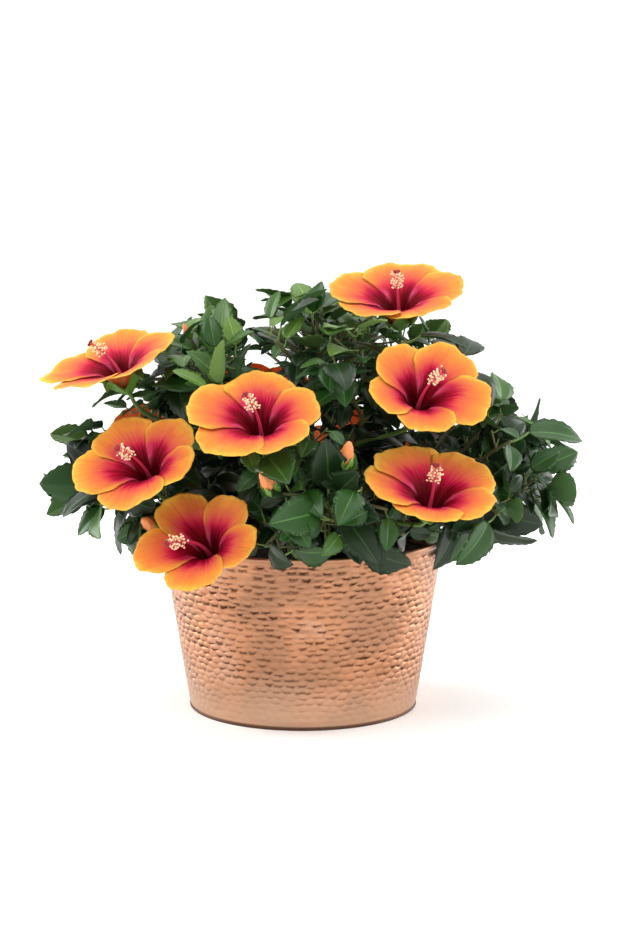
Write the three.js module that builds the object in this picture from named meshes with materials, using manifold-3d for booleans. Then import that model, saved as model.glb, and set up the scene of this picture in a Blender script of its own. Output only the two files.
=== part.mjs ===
// A Chinese hibiscus in flower, grown as a small patio shrub in a hammered copper planter.
// Millimetres, +Z up, -Y to the front. The origin is the middle of the planter's flat underside.
//
// The shrub grows by rule. A short trunk forks into boughs, one for each mass of leaves. Each bough ends
// where its mass begins. The mass keeps to its own share of the crown: a leader and side shoots, with leaves
// along them. Each bloom ends a flowering twig of its own, which leaves the side of a bough.
import * as THREE from "three";
import Module from "manifold-3d";
import { mergeVertices } from "three/addons/utils/BufferGeometryUtils.js";

const wasm = await Module();
wasm.setup();

// ---- Driving dimensions, in millimetres and degrees ----

const CLEAR = 0.3; // between solids that touch
const SLIVER = 0.02; // no edge of a joined solid is shorter

const PLANTER = { rimRadius: 130, baseRadius: 104.5, height: 160, wall: 1.5, bead: 2.2, seam: 1, sides: 40 };
const SOIL_TOP = 142;
const TRUNK = { height: 44, flare: 10, foot: 7, fork: 5.4, lean: 5, leanTowards: 30, sides: 10 };

// The crown is an ellipsoid, shallower below its middle than above it.
const CROWN = { middle: new THREE.Vector3(13, 0, 214), reachX: 273, reachY: 232, up: 184, down: 90 };

// Rings of leaf masses: how many, how high they look from the crown's middle, where the first one stands and
// how high up the trunk their boughs fork, as a share of its height.
const RINGS = [
  { name: "low", count: 5, elevation: -4, azimuth: -86, fork: 0.62 },
  { name: "high", count: 3, elevation: 42, azimuth: -50, fork: 0.9 },
  { name: "top", count: 1, elevation: 90, azimuth: 0, fork: 1 },
];
const MASS_REACH = 0.62; // of the crown's reach, to a mass's middle
const BOUGH = { reach: 0.5, root: 3.9, tip: 2.6, rise: 0.16, sides: 7, steps: 4 };

const SHOOTS = { count: 98, lowest: -38, reach: 0.78, spread: 0.09, turn: 137.508, phase: 20, inset: 0.12 };
const TWIG = { tip: 1.4, sides: 3, steps: 2, clear: 2 };
const LEADER = { root: 2.6, tip: 1.6, steps: 4, swings: [0, 9, -9, 18, -18, 27, -27], bends: [0.4, 0.15] };

// A leaf's petiole and its oval, pointed blade, folded up along the midrib and drooping to the tip.
const LEAF = {
  first: 2.5,
  spacing: 17,
  shortest: 41,
  longest: 61,
  widthShare: 0.68,
  widest: 0.4,
  petioleShare: 0.34,
  petiole: 0.5,
  thick: 0.9,
  fold: 14,
  steepest: 0.5,
  innermost: 0.5,
  apart: 3,
};
const LEAF_TRIES = [1, 1, 1, 1, 0.9, 0.9, 0.9, 0.8, 0.8, 0.7, 0.7]; // size at each try to find it room

// A bloom's throat is at an azimuth and a reach from the planter's axis and a height, and it faces an azimuth
// and an elevation.
// Spin turns its five petals. Its column bends by the bow towards lean, where its petals are longer too.
const BLOOMS = [
  { at: [-103, 158, 287], faces: [-95, 58], width: 118, spin: 91, lean: 170, bow: 10 },
  { at: [-49, 157, 306], faces: [-80, 49], width: 107, spin: 48, lean: 5, bow: 14 },
  { at: [-138, 185, 245], faces: [-114, 53], width: 114, spin: 64, lean: 210, bow: 15 },
  { at: [-54, 190, 224], faces: [-69, 65], width: 118, spin: 97, lean: 90, bow: 4 },
  { at: [-119, 176, 182], faces: [-112, 48], width: 111, spin: -9, lean: 232, bow: 27 },
  { at: [-13, 88, 380], faces: [-105, 70], width: 121, spin: 96, lean: 96, bow: 4 },
  { at: [-161, 175, 325], faces: [-142, 66], width: 125, spin: -4, lean: 210, bow: 16 },
  { at: [46, 180, 274], faces: [50, 46], width: 114, spin: 40, lean: 90, bow: 8 },
  { at: [71, 186, 206], faces: [71, 37], width: 110, spin: 87, lean: 60, bow: 12 },
  { at: [106, 180, 258], faces: [104, 48], width: 118, spin: 60, lean: 110, bow: 6 },
  { at: [146, 194, 236], faces: [142, 42], width: 108, spin: 30, lean: 120, bow: 10 },
];
// Its petals rise to a bowl that deep. They meet at the notch, and are broad to the shoulder, in degrees.
const FLOWER = {
  depth: 27,
  calyx: 9,
  columnLength: 50,
  column: 1.6,
  notch: 0.76,
  shoulder: 19,
  sway: 0.12,
  open: 45,
};
// A stalk leaves its bough that far up, or the next lower down where there is one before it. It sets off and
// arrives by those shares of its own reach.
const STALK = { from: 0.72, next: 0.16, out: 0.18, up: 0.2, nod: 0.42, root: 2.3, tip: 1.8, steps: 4 };

// Shoots that end in a flower bud instead of a last leaf, by number.
const BUDDED = [9, 17, 25, 33, 41, 49];
const BUD = { length: 30, radius: 6.5, sides: 5 };

const SEED = 23;

const COLOURS = {
  copper: { color: "#c98a62", metalness: 0.9, roughness: 0.35 },
  soil: { color: "#3a2b20", metalness: 0, roughness: 1 },
  bark: { color: "#6f6a4a", metalness: 0, roughness: 0.85 },
  foliage: { color: "#2f5a2c", metalness: 0, roughness: 0.45 },
  petal: { color: "#f5872b", metalness: 0, roughness: 0.55 },
};

// ---- Small tools ----

const UP = new THREE.Vector3(0, 0, 1);
const radians = THREE.MathUtils.degToRad;

// A repeatable stream of numbers from 0 to 1.
function seeded(seed) {
  let state = seed >>> 0;
  return () => {
    state = (state + 0x6d2b79f5) >>> 0;
    let mixed = Math.imul(state ^ (state >>> 15), state | 1);
    mixed ^= mixed + Math.imul(mixed ^ (mixed >>> 7), mixed | 61);
    return ((mixed ^ (mixed >>> 14)) >>> 0) / 4294967296;
  };
}

// The unit vector at that azimuth and elevation.
function aim(azimuth, elevation) {
  const level = Math.cos(radians(elevation));
  return new THREE.Vector3(
    level * Math.cos(radians(azimuth)),
    level * Math.sin(radians(azimuth)),
    Math.sin(radians(elevation)),
  );
}

const mix = (a, b, share) => a.clone().lerp(b, share);
const along = (point, direction, distance) => point.clone().addScaledVector(direction, distance);
// The part of a vector that is square to a unit axis, as a unit vector.
const squareTo = (vector, axis) => along(vector, axis, -vector.dot(axis)).normalize();

// Two unit vectors square to an axis and to each other: the first lies level, unless the axis is upright.
function crossAxes(axis) {
  const upright = Math.abs(axis.z) > 0.999;
  const level = upright ? new THREE.Vector3(1, 0, 0) : new THREE.Vector3().crossVectors(UP, axis);
  const first = squareTo(level, axis);
  return [first, new THREE.Vector3().crossVectors(axis, first)];
}

// The unit vector square to an axis that is turned about it by that angle.
function aroundAxis(axis, turn) {
  const [first, second] = crossAxes(axis);
  return first.multiplyScalar(Math.cos(turn)).addScaledVector(second, Math.sin(turn));
}

// A closed skin over rings of points, run from the first ring to the last. An end ring may be one point.
function loft(rings) {
  const points = [];
  const faces = [];
  const starts = rings.map((ring) => points.push(...ring) - ring.length);
  const sides = Math.max(...rings.map((ring) => ring.length));
  for (let r = 0; r + 1 < rings.length; r++) {
    for (let i = 0; i < sides; i++) {
      const next = (i + 1) % sides;
      const corner = (ring, k) => starts[ring] + (rings[ring].length === 1 ? 0 : k);
      if (rings[r].length > 1) faces.push(corner(r, i), corner(r, next), corner(r + 1, i));
      if (rings[r + 1].length > 1) faces.push(corner(r, next), corner(r + 1, next), corner(r + 1, i));
    }
  }
  const last = rings.length - 1;
  for (let i = 1; i + 1 < sides; i++) {
    if (rings[0].length > 1) faces.push(starts[0], starts[0] + i + 1, starts[0] + i);
    if (rings[last].length > 1) faces.push(starts[last], starts[last] + i, starts[last] + i + 1);
  }
  return new THREE.BufferGeometry().setFromPoints(points).setIndex(faces);
}

function solidOf(geometry) {
  const bare = new THREE.BufferGeometry().setAttribute("position", geometry.getAttribute("position"));
  const merged = mergeVertices(bare.setIndex(geometry.getIndex()), 1e-4);
  return new wasm.Manifold(
    new wasm.Mesh({
      numProp: 3,
      vertProperties: new Float32Array(merged.attributes.position.array),
      triVerts: new Uint32Array(merged.index.array),
    }),
  );
}

// The largest piece of a solid, as a geometry, without the slivers that joining leaves.
function geometryOf(solid) {
  const largest = solid.decompose().reduce((a, b) => (a.volume() > b.volume() ? a : b));
  const mesh = largest.simplify(SLIVER).getMesh();
  return new THREE.BufferGeometry()
    .setAttribute("position", new THREE.BufferAttribute(new Float32Array(mesh.vertProperties), 3))
    .setIndex(new THREE.BufferAttribute(new Uint32Array(mesh.triVerts), 1));
}

const fuse = (solids) => wasm.Manifold.union(solids);

// A round limb that tapers along a curve. Grow makes it that much fatter, to cut room for it.
function limb(path, root, tip, sides, steps, grow = 0) {
  const frames = path.computeFrenetFrames(steps, false);
  const rings = [];
  for (let i = 0; i <= steps; i++) {
    const centre = path.getPointAt(i / steps);
    const radius = THREE.MathUtils.lerp(root, tip, i / steps) + grow / Math.cos(Math.PI / sides);
    const ring = [];
    for (let k = 0; k < sides; k++) {
      const turn = (2 * Math.PI * k) / sides;
      const across = along(centre, frames.normals[i], radius * Math.cos(turn));
      ring.push(along(across, frames.binormals[i], radius * Math.sin(turn)));
    }
    rings.push(ring);
  }
  return solidOf(loft(rings));
}

// ---- Where things may grow ----

const crownRadii = (z) => new THREE.Vector3(CROWN.reachX, CROWN.reachY, z >= 0 ? CROWN.up : CROWN.down);

// How far out a point lies, as a share of the crown's reach that way.
function crownShare(point) {
  const offset = point.clone().sub(CROWN.middle);
  return offset.divide(crownRadii(offset.z)).length();
}

function crownPoint(direction, share) {
  return along(CROWN.middle, direction, share / direction.clone().divide(crownRadii(direction.z)).length());
}

function outwardAt(point) {
  const offset = point.clone().sub(CROWN.middle);
  const radii = crownRadii(offset.z);
  return offset.divide(radii).divide(radii).normalize();
}

// The planter's outer radius at a height.
function planterRadius(z) {
  return THREE.MathUtils.lerp(PLANTER.baseRadius, PLANTER.rimRadius, Math.min(z / PLANTER.height, 1));
}

function clearOfPlanter(point) {
  const room = 4;
  const outside = Math.hypot(point.x, point.y) - planterRadius(point.z);
  if (point.z > PLANTER.height + room) return true;
  if (outside > 0) return outside > room;
  return outside < -room - PLANTER.wall && point.z > SOIL_TOP + room;
}

// The share of the crown that a mass keeps to: all that lies nearer its middle than another's.
function inMassSpace(point, mass, masses, margin) {
  const own = point.distanceToSquared(mass.middle);
  return masses.every((other) => {
    if (other === mass) return true;
    const apart = other.middle.distanceTo(mass.middle);
    return (point.distanceToSquared(other.middle) - own) / (2 * apart) > margin;
  });
}

// Nothing grows through a bloom, in front of its face, or on its outer side as far as it opens.
function clearOfBlooms(point, blooms) {
  return blooms.every((bloom) => {
    const from = point.clone().sub(bloom.receptacle);
    const height = from.dot(bloom.axis);
    const aside = along(from, bloom.axis, -height);
    const fromMiddle = along(aside, bloom.leaning, -FLOWER.sway * bloom.radius);
    const radius = fromMiddle.length();
    const rim = bloom.radius + 2;
    const petals = FLOWER.depth * Math.min(1, 0.35 + aside.length() / bloom.radius);
    if (radius < rim + 0.25 * Math.max(0, height - FLOWER.depth) && height < petals + FLOWER.open) {
      if (height > petals - 6) return false;
      if (height > -4 && aside.length() < FLOWER.calyx + 3) return false;
    }
    // Slide the point back towards the bloom along its open side, to the plane of its petals.
    const slide = (height - FLOWER.depth) / bloom.openSide.dot(bloom.axis);
    if (slide < 0 || slide > 1.5 * FLOWER.open) return true;
    const onPlane = along(along(from, bloom.openSide, -slide), bloom.axis, -FLOWER.depth);
    return along(onPlane, bloom.leaning, -FLOWER.sway * bloom.radius).length() > 0.97 * bloom.radius;
  });
}

// A point on one of the straight stretches that a limb is made in.
function onLimb(path, steps, share) {
  const stretch = Math.min(Math.floor(share * steps), steps - 1);
  const ends = [stretch, stretch + 1].map((i) => path.getPointAt(i / steps));
  return mix(ends[0], ends[1], share * steps - stretch);
}

// The straight stretches of a limb, as capsules.
function capsulesOf(path, root, tip, steps, owner) {
  const found = [];
  for (let i = 0; i < steps; i++) {
    found.push({
      line: new THREE.Line3(path.getPointAt(i / steps), path.getPointAt((i + 1) / steps)),
      radius: THREE.MathUtils.lerp(root, tip, i / steps),
      owner,
    });
  }
  return found;
}

const nearest = new THREE.Vector3();
function gapTo(capsule, point) {
  return capsule.line.closestPointToPoint(point, true, nearest).distanceTo(point) - capsule.radius;
}

// ---- The skeleton: trunk, boughs, flowering twigs and leafy shoots ----

const trunkLean = aim(TRUNK.leanTowards, 90 - TRUNK.lean);
const trunkFoot = new THREE.Vector3(0, 0, SOIL_TOP + CLEAR);
const trunkTip = along(trunkFoot, trunkLean, TRUNK.height);

function makeMasses() {
  return RINGS.flatMap((ring) =>
    Array.from({ length: ring.count }, (_, i) => {
      const azimuth = ring.azimuth + (360 / ring.count) * i;
      const direction = aim(azimuth, ring.elevation);
      const middle = crownPoint(direction, MASS_REACH);
      const fork = along(trunkFoot, trunkLean, TRUNK.height * (ring.fork - 0.06 * (i % 3)));
      const start = ring.count === 1 ? along(trunkTip, trunkLean, CLEAR) : fork;
      const end = mix(trunkTip, middle, BOUGH.reach);
      const rise = ring.count === 1 ? 0 : BOUGH.rise * start.distanceTo(end);
      const path = new THREE.QuadraticBezierCurve3(start, along(mix(start, end, 0.5), UP, -rise), end);
      const name = ring.count === 1 ? ring.name : `${ring.name}_${i + 1}`;
      return { name, azimuth, elevation: ring.elevation, middle, bough: path };
    }),
  );
}

function makeBlooms(masses) {
  const onBough = new Map(masses.map((mass) => [mass, 0]));
  return BLOOMS.map((bloom, i) => {
    const [azimuth, fromAxis, height] = bloom.at;
    const axis = aim(...bloom.faces);
    const throat = aim(azimuth, 0).multiplyScalar(fromAxis).setZ(height);
    const receptacle = along(throat, axis, -FLOWER.depth);
    const nearBough = (mass) => mass.bough.getPoint(1).distanceTo(receptacle);
    const mass = masses.reduce((a, b) => (nearBough(b) < nearBough(a) ? b : a));
    const from = STALK.from - STALK.next * onBough.get(mass);
    onBough.set(mass, onBough.get(mass) + 1);
    const start = mass.bough.getPointAt(from);
    const reach = start.distanceTo(receptacle);
    const onward = mass.bough.getTangentAt(from);
    const leaving = along(along(start, onward, STALK.out * reach), UP, STALK.up * reach);
    const arriving = along(receptacle, axis, -STALK.nod * reach);
    arriving.z = Math.max(arriving.z, PLANTER.height + 14);
    const path = new THREE.CubicBezierCurve3(start, leaving, arriving, along(receptacle, axis, -5));
    const openSide = mix(axis, new THREE.Vector3(0, -1, 0), throat.y < 0 ? 0.6 : 0).normalize();
    const leaning = aroundAxis(axis, radians(bloom.lean));
    const name = `bloom_${i + 1}`;
    return { ...bloom, name, axis, receptacle, radius: bloom.width / 2, path, mass, openSide, leaning };
  });
}

// A shoot keeps to its mass's space and clear of the boughs and blooms, or it doesn't grow.
function shootFits(path, mass, masses, blooms, limbs) {
  for (let i = 0; i <= 12; i++) {
    const point = path.getPoint(i / 12);
    if (!inMassSpace(point, mass, masses, 3) || crownShare(point) > 1) return false;
    if (!clearOfPlanter(point) || !clearOfBlooms(point, blooms)) return false;
    if (limbs.some((limb) => gapTo(limb, point) < 2 * TWIG.clear)) return false;
  }
  return true;
}

// The stem that a mass grows on. It carries on from its bough and swings aside where something is in its way.
function makeLeader(mass, masses, blooms, limbs) {
  const onward = mass.bough.getTangentAt(1);
  const start = along(mass.bough.getPoint(1), onward, CLEAR);
  const ways = LEADER.swings.flatMap((swing) =>
    LEADER.bends.map((bend) => {
      const tip = crownPoint(aim(mass.azimuth + swing, mass.elevation), SHOOTS.reach);
      return new THREE.QuadraticBezierCurve3(start, along(start, onward, bend * start.distanceTo(tip)), tip);
    }),
  );
  const others = limbs.filter((capsule) => capsule.owner !== mass.name);
  return ways.find((way) => shootFits(way, mass, masses, blooms, others)) ?? ways[0];
}

// How far up the leader a shoot to that tip leaves it, so that the two part at about 50 degrees.
function forkTowards(tip, leader) {
  const start = leader.getPoint(0);
  const straight = leader.getPoint(1).sub(start);
  const length = straight.length();
  const offset = tip.clone().sub(start);
  const ahead = offset.dot(straight) / length;
  const aside = Math.sqrt(Math.max(0, offset.lengthSq() - ahead * ahead));
  return THREE.MathUtils.clamp((ahead - 0.8 * aside) / length, 0.08, 0.9);
}

function makeShoots(masses, blooms, limbs, random) {
  const shoots = [];
  for (const mass of masses) {
    mass.leader = makeLeader(mass, masses, blooms, limbs);
    shoots.push({ mass, path: mass.leader, root: LEADER.root, tip: LEADER.tip, steps: LEADER.steps });
  }
  const lowest = Math.sin(radians(SHOOTS.lowest));
  for (let i = 0; i < SHOOTS.count; i++) {
    const elevation = THREE.MathUtils.radToDeg(Math.asin(lowest + ((1 - lowest) * (i + 0.5)) / SHOOTS.count));
    const direction = aim(SHOOTS.phase + SHOOTS.turn * i, elevation);
    const share = SHOOTS.reach + SHOOTS.spread * (random() - 0.5);
    const first = crownPoint(direction, share);
    const mass = masses.reduce((a, b) => (first.distanceTo(b.middle) < first.distanceTo(a.middle) ? b : a));
    const tip = mix(first, mass.middle, SHOOTS.inset);
    const forkShare = forkTowards(tip, mass.leader);
    const fork = onLimb(mass.leader, LEADER.steps, forkShare);
    const bow = along(mix(fork, tip, 0.5), UP, 0.1 * fork.distanceTo(tip));
    const ways = [new THREE.QuadraticBezierCurve3(fork, bow, tip), new THREE.LineCurve3(fork, tip)];
    const path = ways.find((way) => shootFits(way, mass, masses, blooms, limbs));
    if (path) {
      const root = 0.85 * THREE.MathUtils.lerp(LEADER.root, LEADER.tip, forkShare);
      shoots.push({ mass, path, root, tip: TWIG.tip, steps: TWIG.steps, bud: BUDDED.includes(i) });
    }
  }
  return shoots;
}

// ---- Leaves ----

// A point of a blade: share of its length from the base, and from -1 to 1 across it.
function bladePoint(leaf, share, across) {
  const bend = Math.max(leaf.droop * share, 1e-6);
  const arc = leaf.length / Math.max(leaf.droop, 1e-6);
  const half = across * leaf.halfWidth * leafOutline(share);
  const rise = Math.abs(half) * Math.tan(radians(LEAF.fold));
  const tangent = along(leaf.along.clone().multiplyScalar(Math.cos(bend)), leaf.face, -Math.sin(bend));
  const normal = new THREE.Vector3().crossVectors(tangent, leaf.side).negate();
  const ahead = along(leaf.base, leaf.along, arc * Math.sin(bend));
  const spine = along(ahead, leaf.face, -arc * (1 - Math.cos(bend)));
  return along(along(spine, leaf.side, half), normal, rise);
}

// Half the blade's width as a share of its widest: an oval, broadest near the base, that ends in a point.
function leafOutline(share) {
  const lower = share < LEAF.widest;
  const stretched = lower ? share / LEAF.widest : 1 + (share - LEAF.widest) / (1 - LEAF.widest);
  return Math.pow(Math.max(0, Math.sin((Math.PI / 2) * stretched)), lower ? 0.62 : 0.9);
}

function placeLeaf(node, tangent, turn, length, droop, tip) {
  const radial = aroundAxis(tangent, turn);
  const outward = outwardAt(node);
  const petiole = radial.clone().multiplyScalar(0.75).addScaledVector(tangent, 0.3 + 0.3 * tip);
  petiole.addScaledVector(UP, 0.25).normalize();
  const base = along(node, petiole, LEAF.petioleShare * length);
  const blade = radial.clone().multiplyScalar(0.8).addScaledVector(outward, 0.3);
  blade.addScaledVector(tangent, 0.3).addScaledVector(UP, -0.2).normalize();
  blade.setZ(Math.min(blade.z, LEAF.steepest)).normalize();
  const faces = UP.clone().multiplyScalar(0.6).addScaledVector(outward, 0.8).addScaledVector(radial, -0.1);
  const face = squareTo(faces, blade);
  return {
    root: node,
    base,
    along: blade,
    face,
    side: new THREE.Vector3().crossVectors(blade, face),
    length,
    halfWidth: (length * LEAF.widthShare) / 2,
    droop,
  };
}

// Points spread over a leaf, close enough that nothing passes between them. The petiole's come first.
const PETIOLE_POINTS = 3;
function leafPoints(leaf) {
  const points = [0.4, 0.7, 1].map((share) => mix(leaf.root, leaf.base, share));
  for (let i = 0; i < 10; i++) {
    for (let k = -2; k <= 2; k++) points.push(bladePoint(leaf, (i + 0.7) / 9.8, k / 2));
  }
  return points;
}

// A leaf that would leave its mass's space, or touch a limb, a bloom or another leaf, doesn't grow.
function leafFits(leaf, mass, world) {
  const points = leafPoints(leaf);
  for (const point of points) {
    if (crownShare(point) > 1 || !inMassSpace(point, mass, world.masses, 1)) return false;
    if (!clearOfPlanter(point) || !clearOfBlooms(point, world.blooms)) return false;
  }
  const centre = bladePoint(leaf, 0.4, 0);
  const reach = 0.8 * leaf.length;
  for (const capsule of world.limbs) {
    if (gapTo(capsule, centre) > reach + LEAF.apart) continue;
    const skip = capsule.owner === mass ? PETIOLE_POINTS : 0;
    if (points.slice(skip).some((point) => gapTo(capsule, point) < TWIG.clear)) return false;
  }
  for (const other of world.leaves) {
    if (other.centre.distanceTo(centre) > reach + other.reach + LEAF.apart) continue;
    const limit = LEAF.apart * LEAF.apart;
    if (other.points.some((a) => points.some((b) => a.distanceToSquared(b) < limit))) return false;
  }
  world.leaves.push({ points, centre, reach });
  return true;
}

// Leaves spiral down a shoot from its tip, as far as the light reaches.
function growLeaves(shoot, world, random) {
  const grown = [];
  const length = shoot.path.getLength();
  const phase = 360 * random();
  for (let i = 0; i * LEAF.spacing < 0.86 * length; i++) {
    const share = 1 - (i * LEAF.spacing + LEAF.first) / length;
    const node = onLimb(shoot.path, shoot.steps, share);
    const size = THREE.MathUtils.lerp(LEAF.shortest, LEAF.longest, Math.min(1, 0.3 * i + 0.7 * random()));
    const droop = radians(14 + 34 * random());
    const jitter = 40 * (random() - 0.5);
    if (crownShare(node) < LEAF.innermost || (i === 0 && shoot.bud)) continue;
    const tangent = shoot.path.getTangentAt(share);
    for (let k = 0; k < LEAF_TRIES.length; k++) {
      const turn = radians(phase + 137.5 * i + jitter + 47 * k);
      const leaf = placeLeaf(node, tangent, turn, size * LEAF_TRIES[k], droop, i === 0 ? 1 : 0);
      if (leafFits(leaf, shoot.mass, world)) {
        grown.push(leaf);
        break;
      }
    }
  }
  return grown;
}

// Three sides all the way: a petiole that starts inside its twig, then the blade, keeled under its midrib.
function leafSolid(leaf) {
  const petiole = leaf.base.clone().sub(leaf.root).normalize();
  const outward = (k) => aroundAxis(petiole, (2 * Math.PI * k) / 3);
  const root = [0, 1, 2].map((k) => along(leaf.root, outward(k), LEAF.petiole));
  const ring = (share, width) => {
    const keel = along(bladePoint(leaf, share, 0), leaf.face, -LEAF.thick);
    return [bladePoint(leaf, share, -width), bladePoint(leaf, share, width), keel];
  };
  const rings = [ring(0.03, 0.35), ring(LEAF.widest, 1), [bladePoint(leaf, 1, 0)]];
  return solidOf(loft([matchTurn(root, rings[0]), ...rings]));
}

// The order of a ring's points, turned so that the skin to the next ring doesn't twist.
function matchTurn(ring, next) {
  const orders = [0, 1, 2].map((k) => ring.map((_, i) => ring[(i + k) % 3]));
  const twist = (order) => order.reduce((sum, point, i) => sum + point.distanceTo(next[i]), 0);
  return orders.reduce((a, b) => (twist(b) < twist(a) ? b : a));
}

// ---- Blooms and buds ----

// A ring about a bloom's axis. Lobed rings follow the petals' edge.
function flowerRing(bloom, radius, height, lobed) {
  const [first, second] = crossAxes(bloom.axis);
  const ring = [];
  for (let petal = 0; petal < 5; petal++) {
    for (const offset of [-36, -FLOWER.shoulder, FLOWER.shoulder]) {
      const turn = radians(bloom.spin + 72 * petal + offset);
      const longer = FLOWER.sway * (radius / bloom.radius) * Math.cos(turn - radians(bloom.lean));
      const reach = radius * (1 + longer) * (lobed && offset === -36 ? FLOWER.notch : 1);
      const across = along(along(bloom.receptacle, bloom.axis, height), first, reach * Math.cos(turn));
      ring.push(along(across, second, reach * Math.sin(turn)));
    }
  }
  return ring;
}

function stalkSolid(bloom, grow = 0) {
  return limb(bloom.path, STALK.root, STALK.tip, 3, STALK.steps, grow);
}

function bloomSolid(bloom) {
  const { radius: wide, axis, receptacle } = bloom;
  const deep = FLOWER.depth;
  const corolla = loft([
    flowerRing(bloom, 3, -5),
    flowerRing(bloom, FLOWER.calyx, 5),
    flowerRing(bloom, 15, 0.68 * deep),
    flowerRing(bloom, 0.58 * wide, 1.03 * deep),
    flowerRing(bloom, wide, 1.2 * deep, true),
    flowerRing(bloom, 0.58 * wide, 1.03 * deep + 1.3),
    flowerRing(bloom, 13, 0.68 * deep + 1.3),
    [along(receptacle, axis, 8)],
  ]);
  const tip = along(along(receptacle, axis, FLOWER.columnLength), bloom.leaning, bloom.bow);
  const middle = along(receptacle, axis, 0.6 * FLOWER.columnLength);
  const column = new THREE.QuadraticBezierCurve3(along(receptacle, axis, 3), middle, tip);
  return fuse([solidOf(corolla), limb(column, FLOWER.column, FLOWER.column, 3, 2), stalkSolid(bloom)]);
}

function budSolid(shoot) {
  const tip = shoot.path.getPoint(1);
  const axis = shoot.path.getTangent(1).add(UP).normalize();
  const ring = (height, radius) =>
    Array.from({ length: BUD.sides }, (_, k) => {
      const outward = aroundAxis(axis, (2 * Math.PI * k) / BUD.sides);
      return along(along(tip, axis, height * BUD.length), outward, radius * BUD.radius);
    });
  return solidOf(loft([ring(-0.08, 0.2), ring(0.18, 1), ring(0.5, 0.85), [along(tip, axis, BUD.length)]]));
}

// ---- The planter and its soil ----

function lathe(profile) {
  const points = profile.map(([radius, height]) => new THREE.Vector2(radius, height));
  return new THREE.LatheGeometry(points, PLANTER.sides).rotateX(Math.PI / 2);
}

function planterGeometry() {
  const { baseRadius: base, rimRadius: rim, height, wall, bead, seam } = PLANTER;
  return lathe([
    [0, 0],
    [base + seam, 0],
    [base + seam, 2.2],
    [base + 0.3, 2.8],
    [planterRadius(height - 2 * bead), height - 2 * bead],
    [rim + bead * 0.7, height - 1.6 * bead],
    [rim + bead * 0.7, height - 0.5 * bead],
    [rim, height],
    [rim - wall, height - 0.4 * bead],
    [base - wall, wall],
    [0, wall],
  ]);
}

function soilGeometry() {
  const inner = (z) => planterRadius(z) - PLANTER.wall - 2 * CLEAR;
  const floor = PLANTER.wall + CLEAR;
  return lathe([
    [0, floor],
    [inner(floor), floor],
    [inner(SOIL_TOP - 3), SOIL_TOP - 3],
    [inner(SOIL_TOP) - 12, SOIL_TOP],
    [0, SOIL_TOP],
  ]);
}

// ---- Solids of the limbs ----

// The trunk tapers from its root flare. Grow makes it fatter, to cut room for it in the boughs.
function trunkSolid(grow = 0) {
  const profile = [
    [0, TRUNK.flare],
    [0.1, 0.5 * (TRUNK.flare + TRUNK.foot)],
    [0.26, TRUNK.foot],
    [0.7, 0.5 * (TRUNK.foot + TRUNK.fork) + 0.3],
    [1, TRUNK.fork],
  ];
  const rings = profile.map(([share, radius]) =>
    Array.from({ length: TRUNK.sides }, (_, k) => {
      const turn = (2 * Math.PI * k) / TRUNK.sides;
      const reach = (radius + grow) * (1 + (share === 0 ? 0.12 * (k % 2) : 0));
      const centre = along(trunkFoot, trunkLean, TRUNK.height * share);
      centre.z = trunkFoot.z + TRUNK.height * share;
      return centre.add(new THREE.Vector3(reach * Math.cos(turn), reach * Math.sin(turn), 0));
    }),
  );
  if (grow > 0) rings.at(-1).forEach((point) => (point.z += grow));
  return solidOf(loft(rings));
}

function boughSolids(masses) {
  const shape = (mass, grow) => limb(mass.bough, BOUGH.root, BOUGH.tip, BOUGH.sides, BOUGH.steps, grow);
  let taken = trunkSolid(CLEAR);
  const made = new Map();
  for (const mass of masses) {
    made.set(mass, shape(mass, 0).subtract(taken));
    taken = taken.add(shape(mass, CLEAR));
  }
  return made;
}

// ---- The shrub ----

const shrub = new THREE.Group();

function addPart(name, geometry, look) {
  const part = new THREE.Mesh(geometry, new THREE.MeshStandardMaterial(COLOURS[look]));
  part.name = name;
  shrub.add(part);
}

const masses = makeMasses();
const blooms = makeBlooms(masses);
const woody = masses.flatMap((mass) => capsulesOf(mass.bough, BOUGH.root, BOUGH.tip, BOUGH.steps, mass.name));
const stalks = blooms.flatMap((bloom) =>
  capsulesOf(bloom.path, STALK.root, STALK.tip, STALK.steps, bloom.name),
);
const shoots = makeShoots(masses, blooms, [...woody, ...stalks], seeded(SEED));
const twigs = shoots.flatMap(({ path, root, tip, steps, mass }) => capsulesOf(path, root, tip, steps, mass));
const world = { masses, blooms, limbs: [...woody, ...stalks, ...twigs], leaves: [] };
const leafRandom = seeded(SEED + 1);
for (const shoot of shoots) shoot.leaves = growLeaves(shoot, world, leafRandom);

addPart("planter", planterGeometry(), "copper");
addPart("potting_soil", soilGeometry(), "soil");
addPart("trunk", geometryOf(trunkSolid()), "bark");
const boughs = boughSolids(masses);
for (const mass of masses) {
  addPart(`bough_${mass.name}`, geometryOf(boughs.get(mass)), "bark");
  const own = shoots.filter((shoot) => shoot.mass === mass);
  const pieces = own.flatMap((shoot) => [
    limb(shoot.path, shoot.root, shoot.tip, TWIG.sides, shoot.steps),
    ...shoot.leaves.map(leafSolid),
    ...(shoot.bud ? [budSolid(shoot)] : []),
  ]);
  const passing = blooms.filter((bloom) => bloom.mass === mass).map((bloom) => stalkSolid(bloom, CLEAR));
  addPart(`leaves_${mass.name}`, geometryOf(fuse(pieces).subtract(fuse(passing))), "foliage");
}
for (const bloom of blooms) {
  const bough = limb(bloom.mass.bough, BOUGH.root, BOUGH.tip, BOUGH.sides, BOUGH.steps, CLEAR);
  addPart(bloom.name, geometryOf(bloomSolid(bloom).subtract(bough)), "petal");
}

export default shrub;
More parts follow.
